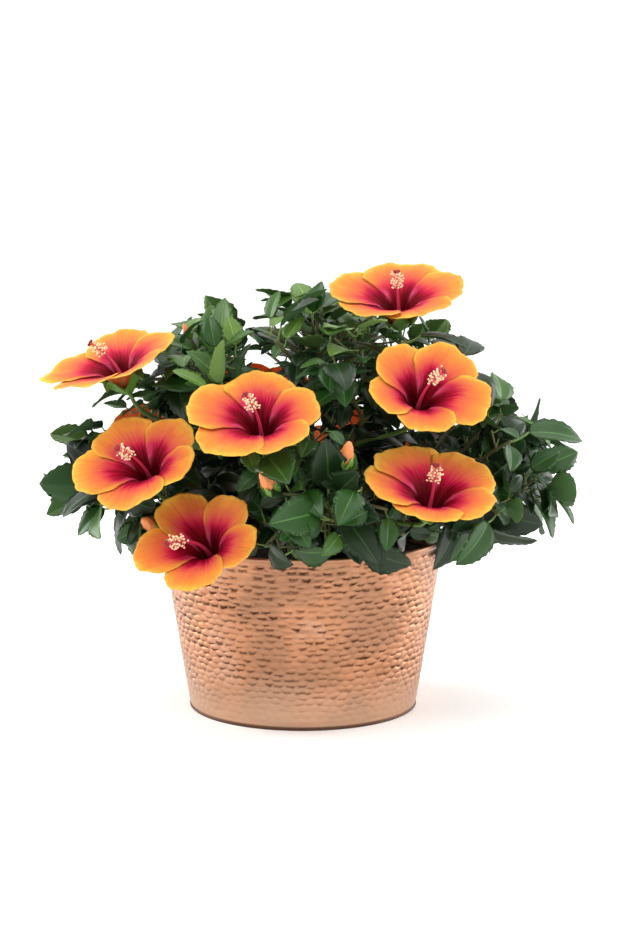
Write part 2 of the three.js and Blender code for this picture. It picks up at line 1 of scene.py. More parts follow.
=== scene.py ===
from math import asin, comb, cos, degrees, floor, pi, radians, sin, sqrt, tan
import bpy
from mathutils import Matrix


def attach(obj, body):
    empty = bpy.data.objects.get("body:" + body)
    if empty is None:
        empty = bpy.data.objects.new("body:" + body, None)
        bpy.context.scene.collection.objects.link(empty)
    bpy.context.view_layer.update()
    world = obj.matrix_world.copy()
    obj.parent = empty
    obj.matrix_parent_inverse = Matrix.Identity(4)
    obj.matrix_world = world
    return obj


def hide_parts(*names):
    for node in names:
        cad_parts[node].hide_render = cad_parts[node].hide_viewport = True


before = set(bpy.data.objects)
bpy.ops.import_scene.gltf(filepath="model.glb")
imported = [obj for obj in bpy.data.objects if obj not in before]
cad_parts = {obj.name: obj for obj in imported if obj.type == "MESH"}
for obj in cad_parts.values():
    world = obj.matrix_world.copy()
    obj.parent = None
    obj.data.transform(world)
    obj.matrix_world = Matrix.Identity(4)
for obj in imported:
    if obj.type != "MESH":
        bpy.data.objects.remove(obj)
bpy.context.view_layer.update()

# A Chinese hibiscus in flower, in a hammered copper planter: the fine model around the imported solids.
# The shrub grows here by the same seeded rule as its solids, so that every leader, shoot and leaf stands
# where its solid does, and is carried on to side twigs, more leaves, ruffled petals, anthers and buds.
# Lengths are in millimetres and angles in degrees until a mesh is made.
from types import SimpleNamespace

import bpy
import numpy as np
from mathutils import Vector

link = bpy.context.scene.collection.objects.link

# ---- The named values of the solids ----

CLEAR = 0.3
RIM, BASE, HEIGHT, WALL, BEAD, SEAM = 130, 104.5, 160, 1.5, 2.2, 1
SOIL_TOP = 142
TRUNK = dict(height=44, flare=10, foot=7, fork=5.4, lean=5, towards=30)
CROWN = dict(middle=np.array([13.0, 0.0, 214.0]), x=273, y=232, up=184, down=90)
RINGS = [("low", 5, -4, -86, 0.62), ("high", 3, 42, -50, 0.9), ("top", 1, 90, 0, 1)]
MASS_REACH = 0.62
BOUGH = dict(reach=0.5, root=3.9, tip=2.6, rise=0.16, steps=4)
SHOOTS = dict(count=98, lowest=-38, reach=0.78, spread=0.09, turn=137.508, phase=20, inset=0.12)
TWIG = dict(tip=1.4, steps=2, clear=2)
LEADER = dict(root=2.6, tip=1.6, steps=4, swings=[0, 9, -9, 18, -18, 27, -27], bends=[0.4, 0.15])
LEAF = dict(
    first=2.5, spacing=17, shortest=41, longest=61, width=0.68, widest=0.4,
    petiole=0.34, fold=14, steepest=0.5, innermost=0.5, apart=3,
)
LEAF_TRIES = [1, 1, 1, 1, 0.9, 0.9, 0.9, 0.8, 0.8, 0.7, 0.7]
# Azimuth, reach and height of each throat, then its heading and elevation, width, spin, lean and bow.
BLOOMS = [
    (-103, 158, 287, -95, 58, 118, 91, 170, 10),
    (-49, 157, 306, -80, 49, 107, 48, 5, 14),
    (-138, 185, 245, -114, 53, 114, 64, 210, 15),
    (-54, 190, 224, -69, 65, 118, 97, 90, 4),
    (-119, 176, 182, -112, 48, 111, -9, 232, 27),
    (-13, 88, 380, -105, 70, 121, 96, 96, 4),
    (-161, 175, 325, -142, 66, 125, -4, 210, 16),
    (46, 180, 274, 50, 46, 114, 40, 90, 8),
    (71, 186, 206, 71, 37, 110, 87, 60, 12),
    (106, 180, 258, 104, 48, 118, 60, 110, 6),
    (146, 194, 236, 142, 42, 108, 30, 120, 10),
]
DEPTH, CALYX, COLUMN_LENGTH, SWAY, OPEN = 27, 9, 50, 0.12, 45
STALK = dict(start=0.72, next=0.16, out=0.18, up=0.2, nod=0.42, root=2.3, tip=1.8, steps=4)
BUDDED = [9, 17, 25, 33, 41, 49]
BUD = dict(length=30, radius=6.5)
SEED = 23

UP = np.array([0.0, 0.0, 1.0])

# ---- Small tools ----


def seeded(seed):
    """The same repeatable stream of numbers from 0 to 1 as the solids use."""
    state = seed & 0xFFFFFFFF

    def draw():
        nonlocal state
        state = (state + 0x6D2B79F5) & 0xFFFFFFFF
        mixed = ((state ^ (state >> 15)) * (state | 1)) & 0xFFFFFFFF
        mixed ^= (mixed + (mixed ^ (mixed >> 7)) * (mixed | 61)) & 0xFFFFFFFF
        return ((mixed ^ (mixed >> 14)) & 0xFFFFFFFF) / 4294967296

    return draw


def unit(v):
    return v / np.maximum(np.linalg.norm(v, axis=-1, keepdims=True), 1e-12)


def length_of(v):
    return np.linalg.norm(v, axis=-1)


def aim(azimuth, elevation):
    a, e = radians(azimuth), radians(elevation)
    return np.array([cos(e) * cos(a), cos(e) * sin(a), sin(e)])


def mix(a, b, share):
    return (1 - share) * a + share * b


def square_to(v, axis):
    return unit(v - (v @ axis) * axis)


def cross_axes(axis):
    first = square_to(np.array([1.0, 0, 0]) if abs(axis[2]) > 0.999 else np.cross(UP, axis), axis)
    return first, np.cross(axis, first)


def turned(turn, first, second):
    return np.multiply.outer(np.cos(turn), first) + np.multiply.outer(np.sin(turn), second)


def around_axis(axis, turn):
    """The unit vector square to an axis that is turned about it by an angle, or one for each angle."""
    return turned(turn, *cross_axes(axis))


def full_turn(count):
    return 2 * pi * np.arange(count) / count


def taper(limb):
    return limb["root"], limb["tip"], limb["steps"]


def nearest_mass(place, part=lambda mass: mass.middle):
    return min(masses, key=lambda mass: length_of(part(mass) - place))


class Curve:
    """A Bezier curve of any degree, measured along 200 chords as the solids' curves are."""

    def __init__(self, *controls):
        self.controls = np.array(controls, dtype=float)
        self.t = np.linspace(0, 1, 201)
        steps = length_of(np.diff(self.point(self.t), axis=0))
        self.measure = np.concatenate([[0], np.cumsum(steps)])
        self.length = self.measure[-1]

    def point(self, t):
        degree = len(self.controls) - 1
        t = np.asarray(t, dtype=float)[..., None]
        return sum(
            comb(degree, i) * (1 - t) ** (degree - i) * t**i * control
            for i, control in enumerate(self.controls)
        )

    def at(self, share):
        return self.point(np.interp(np.asarray(share) * self.length, self.measure, self.t))

    def tangent(self, share):
        t = np.interp(share * self.length, self.measure, self.t)
        return unit(self.point(min(t + 1e-4, 1)) - self.point(max(t - 1e-4, 0)))


# ---- Where things may grow ----


def crown_radii(z):
    z = np.asarray(z)
    wide = np.broadcast_to([CROWN["x"], CROWN["y"]], z.shape + (2,))
    return np.concatenate([wide, np.where(z >= 0, CROWN["up"], CROWN["down"])[..., None]], axis=-1)


def crown_share(point):
    offset = point - CROWN["middle"]
    return length_of(offset / crown_radii(offset[..., 2]))


def crown_point(direction, share):
    return CROWN["middle"] + direction * share / length_of(direction / crown_radii(direction[2]))


def outward_at(point):
    offset = point - CROWN["middle"]
    return unit(offset / crown_radii(offset[..., 2]) ** 2)


def planter_radius(z):
    return BASE + (RIM - BASE) * np.minimum(z / HEIGHT, 1)


def clear_of_planter(p):
    room = 4
    outside = np.hypot(p[:, 0], p[:, 1]) - planter_radius(p[:, 2])
    above = p[:, 2] > HEIGHT + room
    within = (outside < -room - WALL) & (p[:, 2] > SOIL_TOP + room)
    return bool(np.all(above | (outside > room) | within))


class Limbs:
    """The straight stretches of the limbs, as capsules."""

    def __init__(self):
        self.a, self.b, self.radius, self.owner = [], [], [], []

    def add(self, path, root, tip, steps, owner):
        ends = path.at(np.arange(steps + 1) / steps)
        self.a += list(ends[:-1])
        self.b += list(ends[1:])
        self.radius += [mix(root, tip, i / steps) for i in range(steps)]
        self.owner += [owner] * steps

    def gaps(self, points):
        a, b = np.array(self.a), np.array(self.b)
        ab = b - a
        ap = points[:, None] - a
        t = np.clip((ap * ab).sum(-1) / (ab * ab).sum(-1), 0, 1)
        return length_of(ap - t[..., None] * ab) - np.array(self.radius)

    def owned_by(self, owner):
        return np.array([o is owner or (isinstance(owner, str) and o == owner) for o in self.owner])


def in_space(points, mass, margin):
    own = ((points - mass.middle) ** 2).sum(-1)
    for other in masses:
        if other is mass:
            continue
        apart = length_of(other.middle - mass.middle)
        if np.any((((points - other.middle) ** 2).sum(-1) - own) / (2 * apart) <= margin):
            return False
    return True


def clear_of_blooms(points):
    start = points[:, None] - BLOOM_AT
    height = (start * BLOOM_AXIS).sum(-1)
    aside = start - height[..., None] * BLOOM_AXIS
    radius = length_of(aside - BLOOM_SHIFT)
    petals = DEPTH * np.minimum(1, 0.35 + length_of(aside) / BLOOM_RADIUS)
    near = radius < BLOOM_RADIUS + 2 + 0.25 * np.maximum(0, height - DEPTH)
    near &= height < petals + OPEN
    blocked = near & ((height > petals - 6) | ((height > -4) & (length_of(aside) < CALYX + 3)))
    slide = (height - DEPTH) / (BLOOM_OPEN * BLOOM_AXIS).sum(-1)
    on_plane = start - slide[..., None] * BLOOM_OPEN - DEPTH * BLOOM_AXIS - BLOOM_SHIFT
    shaded = (slide >= 0) & (slide <= 1.5 * OPEN) & (length_of(on_plane) <= 0.97 * BLOOM_RADIUS)
    return not np.any(blocked | shaded)


def on_limb(path, steps, share):
    stretch = min(floor(share * steps), steps - 1)
    ends = path.at(np.array([stretch, stretch + 1]) / steps)
    return mix(ends[0], ends[1], share * steps - stretch)


# ---- The skeleton ----

trunk_lean = aim(TRUNK["towards"], 90 - TRUNK["lean"])
trunk_foot = np.array([0, 0, SOIL_TOP + CLEAR])
trunk_tip = trunk_foot + trunk_lean * TRUNK["height"]


def make_masses():
    made = []
    for ring, count, elevation, first, fork in RINGS:
        for i in range(count):
            azimuth = first + 360 / count * i
            middle = crown_point(aim(azimuth, elevation), MASS_REACH)
            forked = trunk_foot + trunk_lean * TRUNK["height"] * (fork - 0.06 * (i % 3))
            start = trunk_tip + trunk_lean * CLEAR if count == 1 else forked
            end = mix(trunk_tip, middle, BOUGH["reach"])
            rise = 0 if count == 1 else BOUGH["rise"] * length_of(end - start)
            path = Curve(start, mix(start, end, 0.5) - UP * rise, end)
            name = ring if count == 1 else f"{ring}_{i + 1}"
            mass = SimpleNamespace(name=name, azimuth=azimuth, elevation=elevation, middle=middle, bough=path)
            made.append(mass)
    return made


def make_blooms():
    made = []
    on_bough = {mass.name: 0 for mass in masses}
    for number, (azimuth, reach, height, heading, tilt, width, spin, lean, bow) in enumerate(BLOOMS):
        bloom = SimpleNamespace(name=f"bloom_{number + 1}")
        bloom.axis = aim(heading, tilt)
        throat = aim(azimuth, 0) * reach + UP * height
        bloom.receptacle = at = throat - bloom.axis * DEPTH
        mass = nearest_mass(at, lambda mass: mass.bough.point(1.0))
        leaves_at = STALK["start"] - STALK["next"] * on_bough[mass.name]
        on_bough[mass.name] += 1
        start = mass.bough.at(leaves_at)
        far = length_of(at - start)
        leaving = start + mass.bough.tangent(leaves_at) * STALK["out"] * far + UP * STALK["up"] * far
        arriving = at - bloom.axis * STALK["nod"] * far
        arriving[2] = max(arriving[2], HEIGHT + 14)
        bloom.path = Curve(start, leaving, arriving, at - bloom.axis * 5)
        front = np.array([0, -1.0, 0])
        bloom.open = unit(mix(bloom.axis, front, 0.6 if throat[1] < 0 else 0))
        bloom.radius, bloom.spin, bloom.lean, bloom.bow = width / 2, spin, lean, bow
        bloom.leaning = around_axis(bloom.axis, radians(lean))
        made.append(bloom)
    return made


def in_the_clear(points, mass, margin):
    if np.any(crown_share(points) > 1) or not in_space(points, mass, margin):
        return False
    return clear_of_planter(points) and clear_of_blooms(points)


def shoot_fits(path, mass, limbs, counted):
    points = path.point(np.arange(13) / 12)
    if not in_the_clear(points, mass, 3):
        return False
    return not np.any(limbs.gaps(points)[:, counted] < 2 * TWIG["clear"])


class Shoot:
    def __init__(self, mass, path, root, tip, steps, bud=False):
        self.mass, self.path, self.root, self.tip, self.steps = mass, path, root, tip, steps
        self.bud, self.leaves = bud, []


def make_leader(mass, limbs):
    onward = mass.bough.tangent(1)
    start = mass.bough.point(1.0) + onward * CLEAR
    counted = ~limbs.owned_by(mass.name)
    ways = []
    for swing in LEADER["swings"]:
        for bend in LEADER["bends"]:
            tip = crown_point(aim(mass.azimuth + swing, mass.elevation), SHOOTS["reach"])
            ways.append(Curve(start, start + onward * bend * length_of(tip - start), tip))
    return next((way for way in ways if shoot_fits(way, mass, limbs, counted)), ways[0])


def fork_towards(tip, leader):
    start = leader.point(0.0)
    straight = leader.point(1.0) - start
    far = length_of(straight)
    offset = tip - start
    ahead = offset @ straight / far
    aside = sqrt(max(0, offset @ offset - ahead * ahead))
    return min(max((ahead - 0.8 * aside) / far, 0.08), 0.9)


def make_shoots(limbs, random):
    made = []
    for mass in masses:
        mass.leader = make_leader(mass, limbs)
        made.append(Shoot(mass, mass.leader, *taper(LEADER)))
    lowest = sin(radians(SHOOTS["lowest"]))
    counted = np.ones(len(limbs.a), dtype=bool)
    for i in range(SHOOTS["count"]):
        elevation = degrees(asin(lowest + (1 - lowest) * (i + 0.5) / SHOOTS["count"]))
        direction = aim(SHOOTS["phase"] + SHOOTS["turn"] * i, elevation)
        share = SHOOTS["reach"] + SHOOTS["spread"] * (random() - 0.5)
        first = crown_point(direction, share)
        mass = nearest_mass(first)
        tip = mix(first, mass.middle, SHOOTS["inset"])
        fork_share = fork_towards(tip, mass.leader)
        fork = on_limb(mass.leader, LEADER["steps"], fork_share)
        bow = mix(fork, tip, 0.5) + UP * 0.1 * length_of(tip - fork)
        for path in (Curve(fork, bow, tip), Curve(fork, tip)):
            if shoot_fits(path, mass, limbs, counted):
                root = 0.85 * mix(LEADER["root"], LEADER["tip"], fork_share)
                made.append(Shoot(mass, path, root, TWIG["tip"], TWIG["steps"], i in BUDDED))
                break
    return made


# ---- Leaves ----


def leaf_outline(share):
    lower = share < LEAF["widest"]
    above = 1 + (share - LEAF["widest"]) / (1 - LEAF["widest"])
    stretched = np.where(lower, share / LEAF["widest"], above)
    return np.maximum(0, np.sin(pi / 2 * stretched)) ** np.where(lower, 0.62, 0.9)


class Leaf:
    def __init__(self, node, tangent, turn, length, droop, tip):
        radial = around_axis(tangent, turn)
        outward = outward_at(node)
        petiole = unit(radial * 0.75 + tangent * (0.3 + 0.3 * tip) + UP * 0.25)
        self.root = node
        self.base = node + petiole * LEAF["petiole"] * length
        blade = unit(radial * 0.8 + outward * 0.3 + tangent * 0.3 - UP * 0.2)
        blade[2] = min(blade[2], LEAF["steepest"])
        self.along = unit(blade)
        self.face = square_to(UP * 0.6 + outward * 0.8 - radial * 0.1, self.along)
        self.side = np.cross(self.along, self.face)
        self.length, self.half, self.droop = length, length * LEAF["width"] / 2, droop

    def spine(self, share):
        """Points along the midrib, and the blade's normal at each."""
        bend = np.maximum(self.droop * share, 1e-6)[..., None]
        arc = self.length / self.droop
        points = self.base + self.along * arc * np.sin(bend) - self.face * arc * (1 - np.cos(bend))
        tangent = self.along * np.cos(bend) - self.face * np.sin(bend)
        return points, -np.cross(tangent, self.side)

    def blade(self, share, across):
        points, normal = self.spine(share)
        half = (across * self.half * leaf_outline(share))[..., None]
        return points + self.side * half + normal * np.abs(half) * tan(radians(LEAF["fold"]))

    def points(self):
        petiole = [mix(self.root, self.base, share) for share in (0.4, 0.7, 1)]
        rows = np.repeat((np.arange(10) + 0.7) / 9.8, 5)
        return np.concatenate([petiole, self.blade(rows, np.tile(np.arange(-2, 3) / 2, 10))])


def leaf_fits(leaf, mass, world, apart=LEAF["apart"], edge=1, clear=TWIG["clear"], owner=None):
    points = leaf.points()
    if not in_the_clear(points, mass, edge):
        return False
    centre = leaf.blade(np.array(0.4), np.array(0.0))
    reach = 0.8 * leaf.length
    gaps = world.limbs.gaps(np.concatenate([[centre], points]))
    near = gaps[0] <= reach + LEAF["apart"]
    gaps = gaps[1:]
    gaps[:3, world.limbs.owned_by(owner or mass)] = 99
    if np.any(gaps[:, near] < clear):
        return False
    if world.centres:
        close = length_of(np.array(world.centres) - centre) <= reach + np.array(world.reaches) + apart
        for i in np.flatnonzero(close):
            between = world.clouds[i][:, None] - points
            if np.any((between * between).sum(-1) < apart * apart):
                return False
    world.centres.append(centre)
    world.reaches.append(reach)
    world.clouds.append(points)
    return True


def grow_leaves(shoot, world, random):
    path, far = shoot.path, shoot.path.length
    phase = 360 * random()
    i = 0
    while i * LEAF["spacing"] < 0.86 * far:
        share = 1 - (i * LEAF["spacing"] + LEAF["first"]) / far
        node = on_limb(path, shoot.steps, share)
        size = mix(LEAF["shortest"], LEAF["longest"], min(1, 0.3 * i + 0.7 * random()))
        droop = radians(14 + 34 * random())
        jitter = 40 * (random() - 0.5)
        if crown_share(node) >= LEAF["innermost"] and not (i == 0 and shoot.bud):
            tangent = path.tangent(share)
            for k, tried in enumerate(LEAF_TRIES):
                turn = radians(phase + 137.5 * i + jitter + 47 * k)
                leaf = Leaf(node, tangent, turn, size * tried, droop, 1 if i == 0 else 0)
                if leaf_fits(leaf, shoot.mass, world):
                    shoot.leaves.append(leaf)
                    break
        i += 1


masses = make_masses()
blooms = make_blooms()
traits = [(b.receptacle, b.axis, b.open, b.radius, b.leaning * SWAY * b.radius) for b in blooms]
BLOOM_AT, BLOOM_AXIS, BLOOM_OPEN, BLOOM_RADIUS, BLOOM_SHIFT = map(np.array, zip(*traits))

limbs = Limbs()
for mass in masses:
    limbs.add(mass.bough, *taper(BOUGH), mass.name)
for bloom in blooms:
    limbs.add(bloom.path, *taper(STALK), bloom.name)
shoots = make_shoots(limbs, seeded(SEED))
for shoot in shoots:
    limbs.add(shoot.path, shoot.root, shoot.tip, shoot.steps, shoot.mass)
world = SimpleNamespace(limbs=limbs, centres=[], reaches=[], clouds=[])
leaf_random = seeded(SEED + 1)
for shoot in shoots:
    grow_leaves(shoot, world, leaf_random)

# ---- The rule carried on: side twigs and more leaves ----

FINE = dict(
    innermost=0.22, apart=1.5, edge=0.6, clear=1.2, first=3, steepest=-0.6,
    sparse_above=245, sparse_before=60, sparse_beyond=0.7,
)
SIDE = dict(shortest=16, longest=34, spacing=23, dense_below=215, root=1.1, tip=0.8, steps=2)
# Spacing and the shortest and longest leaf, on shoots, side twigs, boughs and the stalks of blooms.
ON_SHOOT, ON_TWIG, ON_BOUGH, ON_STALK = (11, 24, 50), (9, 24, 44), (7, 30, 50), (9, 28, 48)


def grow_more_leaves(shoot, world, random, spacing, shortest, longest, owner=None):
    """Leaves between those that the solids have. An owner is the bough or bloom that carries them."""
    path, far = shoot.path, shoot.path.length
    phase = 360 * random()
    i = 0
    while i * spacing + FINE["first"] < 0.92 * far:
        share = 1 - (i * spacing + FINE["first"]) / far
        node = on_limb(path, shoot.steps, share)
        size = mix(shortest, longest, random())
        droop = radians(18 + 34 * random())
        start = phase + 137.5 * i
        i += 1
        depth = crown_share(node)
        open_front = node[2] > FINE["sparse_above"] and node[1] < FINE["sparse_before"]
        sparse = open_front and depth > FINE["sparse_beyond"] and i % 3 != 1
        if sparse or (depth < FINE["innermost"] and not owner):
            continue
        tangent = path.tangent(share)
        for k in range(9):
            turn = radians(start + 43 * k)
            leaf = Leaf(node, tangent, turn, size * (1 - 0.05 * k), droop, 0.5 if i == 1 else 0)
            if leaf.along[2] < FINE["steepest"]:
                continue
            if leaf_fits(leaf, shoot.mass, world, FINE["apart"], FINE["edge"], FINE["clear"], owner):
                shoot.leaves.append(leaf)
                break


def grow_side_twigs(shoot, world, random):
    """Short twigs that leave a shoot's side, each with a few leaves of its own."""
    grown = []
    far = shoot.path.length
    crowded = 1.5 if shoot.path.point(0.5)[2] < SIDE["dense_below"] else 1
    count = int(0.8 * far / SIDE["spacing"] * crowded)
    for i in range(count):
        share = 1 - (0.1 + 0.8 * (i + 0.5) / count)
        node = on_limb(shoot.path, shoot.steps, share)
        size = mix(SIDE["shortest"], SIDE["longest"], random())
        phase = 360 * random()
        tangent = shoot.path.tangent(share)
        counted = ~world.limbs.owned_by(shoot.mass)
        for k in range(6):
            radial = around_axis(tangent, radians(phase + 60 * k))
            heading = unit(radial + 0.7 * tangent + 0.25 * UP + 0.2 * outward_at(node))
            tip = node + heading * size
            path = Curve(node, mix(node, tip, 0.5) - UP * 0.06 * size, tip)
            if not shoot_fits(path, shoot.mass, world.limbs, counted):
                continue
            own = world.limbs.owned_by(shoot.mass)
            outer = path.point(np.array([0.5, 0.75, 1.0]))
            if np.any(world.limbs.gaps(outer)[:, own] < 4):
                continue
            clouds = np.concatenate(world.clouds)
            inner = path.point(np.arange(1, 9) / 8)
            if np.any(((clouds[:, None] - inner) ** 2).sum(-1) < 9):
                continue
            grown.append(Shoot(shoot.mass, path, *taper(SIDE)))
            world.limbs.add(path, *taper(SIDE), shoot.mass)
            break
    return grown


more_random = seeded(SEED + 2)
side_twigs = []
for shoot in shoots:
    side_twigs += grow_side_twigs(shoot, world, more_random)
for twig in side_twigs:
    grow_more_leaves(twig, world, more_random, *ON_TWIG)
for shoot in shoots:
    grow_more_leaves(shoot, world, more_random, *ON_SHOOT)
leafy = []
for mass in masses:
    leafy.append(Shoot(mass, mass.bough, *taper(BOUGH)))
    grow_more_leaves(leafy[-1], world, more_random, *ON_BOUGH, mass.name)
for bloom in blooms:
    mass = nearest_mass(bloom.path.at(0.5))
    leafy.append(Shoot(mass, bloom.path, *taper(STALK)))
    grow_more_leaves(leafy[-1], world, more_random, *ON_STALK, bloom.name)

# ---- Meshes from lofted rings ----


def rings_along(path, radii, sides, relief=None):
    """Rings about a path that don't twist, and the path's tangents. Relief is a share of the radius."""
    path = np.asarray(path, dtype=float)
    tangents = unit(np.gradient(path, axis=0))
    far = np.concatenate([[0], np.cumsum(length_of(np.diff(path, axis=0)))])
    turns = full_turn(sides)
    first, _ = cross_axes(tangents[0])
    rings = []
    for at, radius, tangent, gone in zip(path, radii, tangents, far):
        first = square_to(first, tangent)
        swollen = (radius * relief(gone, turns))[:, None] if relief else radius
        rings.append(at + swollen * turned(turns, first, np.cross(tangent, first)))
    return np.array(rings), tangents


class Skin:
    """Lofted skins, gathered to be joined into one mesh. Each runs from a point over rings to a point."""

    def __init__(self):
        self.points, self.faces, self.looks, self.uvs, self.total = [], [], [], [], 0

    def loft(self, rings, start, end=None, looks=0):
        """Rings run counter-clockwise about their way. Looks are one number, or one for each side.

        With no end point the two halves of the last ring are closed on each other, as at a petal's rim."""
        count, sides = rings.shape[:2]
        ring = np.arange(sides)
        after = (ring + 1) % sides
        base = self.total + 1
        last = base + count * sides
        rows = base + sides * np.arange(count - 1)[:, None]
        quads = np.stack([rows + ring, rows + after, rows + sides + after, rows + sides + ring], axis=-1)
        first = np.stack([np.full(sides, self.total), base + after, base + ring], axis=-1)
        top = last - sides
        look = np.broadcast_to(looks, sides)
        self.points += [np.array(start)[None], rings.reshape(-1, 3)]
        self.total = last
        closing = look
        if end is None:
            middle = sides // 2
            half = np.arange(1, middle - 1)
            zipped = np.stack([half, half + 1, sides - half - 1, sides - half], axis=-1)
            final = top + zipped, top + np.array([[0, 1, sides - 1], [middle - 1, middle, middle + 1]])
            closing = look[:middle]
        else:
            final = (np.stack([top + ring, top + after, np.full(sides, last)], axis=-1),)
            self.points.append(np.array(end)[None])
            self.total += 1
        self.faces.append((first, quads.reshape(-1, 4)) + final)
        self.looks.append(np.concatenate([look, np.tile(look, count - 1), closing]))

    def tube(self, path, radii, sides, looks=0):
        """A round tube along a row of points, with rounded ends."""
        radii = np.broadcast_to(radii, len(path))
        rings, tangents = rings_along(path, radii, sides)
        start = path[0] - tangents[0] * 0.6 * radii[0]
        end = path[-1] + tangents[-1] * 0.6 * radii[-1]
        self.loft(rings, start, end, looks)

    def make(self, name, materials, slot, nodes=(), smooth=True):
        points = np.concatenate(self.points) * 0.001
        mesh = bpy.data.meshes.new(name)
        loops = np.concatenate([part.ravel() for faces in self.faces for part in faces])
        sizes = np.concatenate([np.full(len(part), part.shape[1]) for faces in self.faces for part in faces])
        mesh.vertices.add(len(points))
        mesh.vertices.foreach_set("co", points.astype(np.float32).ravel())
        mesh.loops.add(len(loops))
        mesh.loops.foreach_set("vertex_index", loops.astype(np.int32))
        mesh.polygons.add(len(sizes))
        starts = np.concatenate([[0], np.cumsum(sizes)[:-1]])
        mesh.polygons.foreach_set("loop_start", starts.astype(np.int32))
        mesh.polygons.foreach_set("material_index", np.concatenate(self.looks).astype(np.int32))
        mesh.polygons.foreach_set("use_smooth", np.full(len(sizes), smooth))
        mesh.update(calc_edges=True)
        for material in materials:
            mesh.materials.append(material)
        obj = bpy.data.objects.new(name, mesh)
        link(obj)
        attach(obj, "root")
        if nodes:
            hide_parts(*nodes)
        return obj


# ---- Materials ----


def srgb(code):
    """A colour written the way a web page does, as linear light."""
    channels = [int(code[i : i + 2], 16) / 255 for i in (1, 3, 5)]
    return [c / 12.92 if c <= 0.04045 else ((c + 0.055) / 1.055) ** 2.4 for c in channels] + [1]


def add_node(tree, kind, inputs=None, **settings):
    """A shader node with its inputs set, or linked where a socket is given."""
    made = tree.nodes.new("ShaderNode" + kind)
    for key, value in settings.items():
        setattr(made, key, value)
    for socket, value in (inputs or {}).items():
        if isinstance(value, bpy.types.NodeSocket):
            tree.links.new(value, made.inputs[socket])
        else:
            made.inputs[socket].default_value = srgb(value) if isinstance(value, str) else value
    return made


def remap(tree, value, *ends):
    """A value mapped from one range to another: the ends of the first, then those of the second."""
    inputs = dict(zip(("Value", "From Min", "From Max", "To Min", "To Max"), (value,) + ends))
    return add_node(tree, "MapRange", inputs).outputs[0]


class Look:
    """A procedural material and its nodes."""

    def __init__(self, name, colour, roughness=0.5, metallic=0.0, **sockets):
        self.material = bpy.data.materials.new(name)
        self.material.use_nodes = True
        self.tree = self.material.node_tree
        self.shader = self.tree.nodes["Principled BSDF"]
        settings = {"Base Color": srgb(colour), "Roughness": roughness, "Metallic": metallic, **sockets}
        for socket, value in settings.items():
            self.shader.inputs[socket].default_value = value

    def node(self, kind, inputs=None, **settings):
        return add_node(self.tree, kind, inputs, **settings)

    def math(self, operation, *values):
        return self.node("Math", dict(enumerate(values)), operation=operation).outputs[0]

    def times(self, *values):
        return self.math("MULTIPLY", *values)

    def point(self, x, y, z):
        return self.node("CombineXYZ", {0: x, 1: y, 2: z}).outputs[0]

    def ramp(self, value, stops):
        made = self.node("ValToRGB", {"Fac": value})
        ramp = made.color_ramp
        while len(ramp.elements) < len(stops):
            ramp.elements.new(0.5)
        for element, (place, colour) in zip(ramp.elements, stops):
            element.position = place
            element.color = srgb(colour) if isinstance(colour, str) else (colour, colour, colour, 1)
        return made.outputs["Color"]

    def noise(self, scale, detail=2, vector=None):
        vector = vector or self.node("TexCoord").outputs["Object"]
        inputs = {"Vector": vector, "Scale": scale, "Detail": detail}
        return self.node("TexNoise", inputs).outputs["Fac"]

    def mix(self, share, a, b):
        return self.node("Mix", {0: share, 6: a, 7: b}, data_type="RGBA").outputs[2]

    def into(self, socket, value):
        self.tree.links.new(value, self.shader.inputs[socket])

    def bump(self, height, distance, strength=1.0):
        made = self.node("Bump", {"Height": height, "Distance": distance, "Strength": strength})
        self.into("Normal", made.outputs["Normal"])


def plain(name, colour, roughness, **sockets):
    return Look(name, colour, roughness, **sockets).material


# ---- Leaves, petioles and twigs ----

ROWS = 14
ACROSS = np.array([-1, -0.64, -0.3, -0.045, 0.045, 0.3, 0.64, 1])


def blade_rings(leaf, width, wave):
    """Rings over a leaf's two faces: pleated along its side veins, toothed and waved at its margin."""
    rows = np.arange(1, ROWS)
    section = np.concatenate([ACROSS, ACROSS[-2:0:-1]])
    top = np.arange(len(section)) < len(ACROSS)
    share, across = np.meshgrid(rows / ROWS, section, indexing="ij")
    way = np.where(rows % 2 == 0, 1.0, -1.0)[:, None]
    swell = np.sin(pi * share)
    share = share + 0.07 * np.abs(across) * swell
    edge = np.abs(across)
    tooth = 1 + 0.045 * way * (edge == 1) * (share > 0.3)
    half = (across * leaf.half * width * leaf_outline(share) * tooth)[..., None]
    points, normal = leaf.spine(share)
    rise = np.abs(half[..., 0]) * tan(radians(LEAF["fold"])) * (1.15 - 0.3 * edge)
    pleat = 0.011 * leaf.length * way * swell * edge * (1.2 - edge)
    ripple = 0.03 * leaf.length * edge**2 * swell * np.sin(wave + 7 * share + 1.3 * np.sign(across))
    thick = np.where(top, 0, 0.012 * leaf.length * (1.1 - edge) + 0.02 * leaf.length * (edge < 0.1))
    return points + leaf.side * half + normal * (rise + pleat + ripple - thick)[..., None]


def petiole_path(leaf):
    sag = mix(leaf.root, leaf.base, 0.55) - UP * 0.05 * leaf.length
    return Curve(leaf.root, sag, leaf.base + leaf.along * 0.02 * leaf.length).point(np.linspace(0, 1, 5))


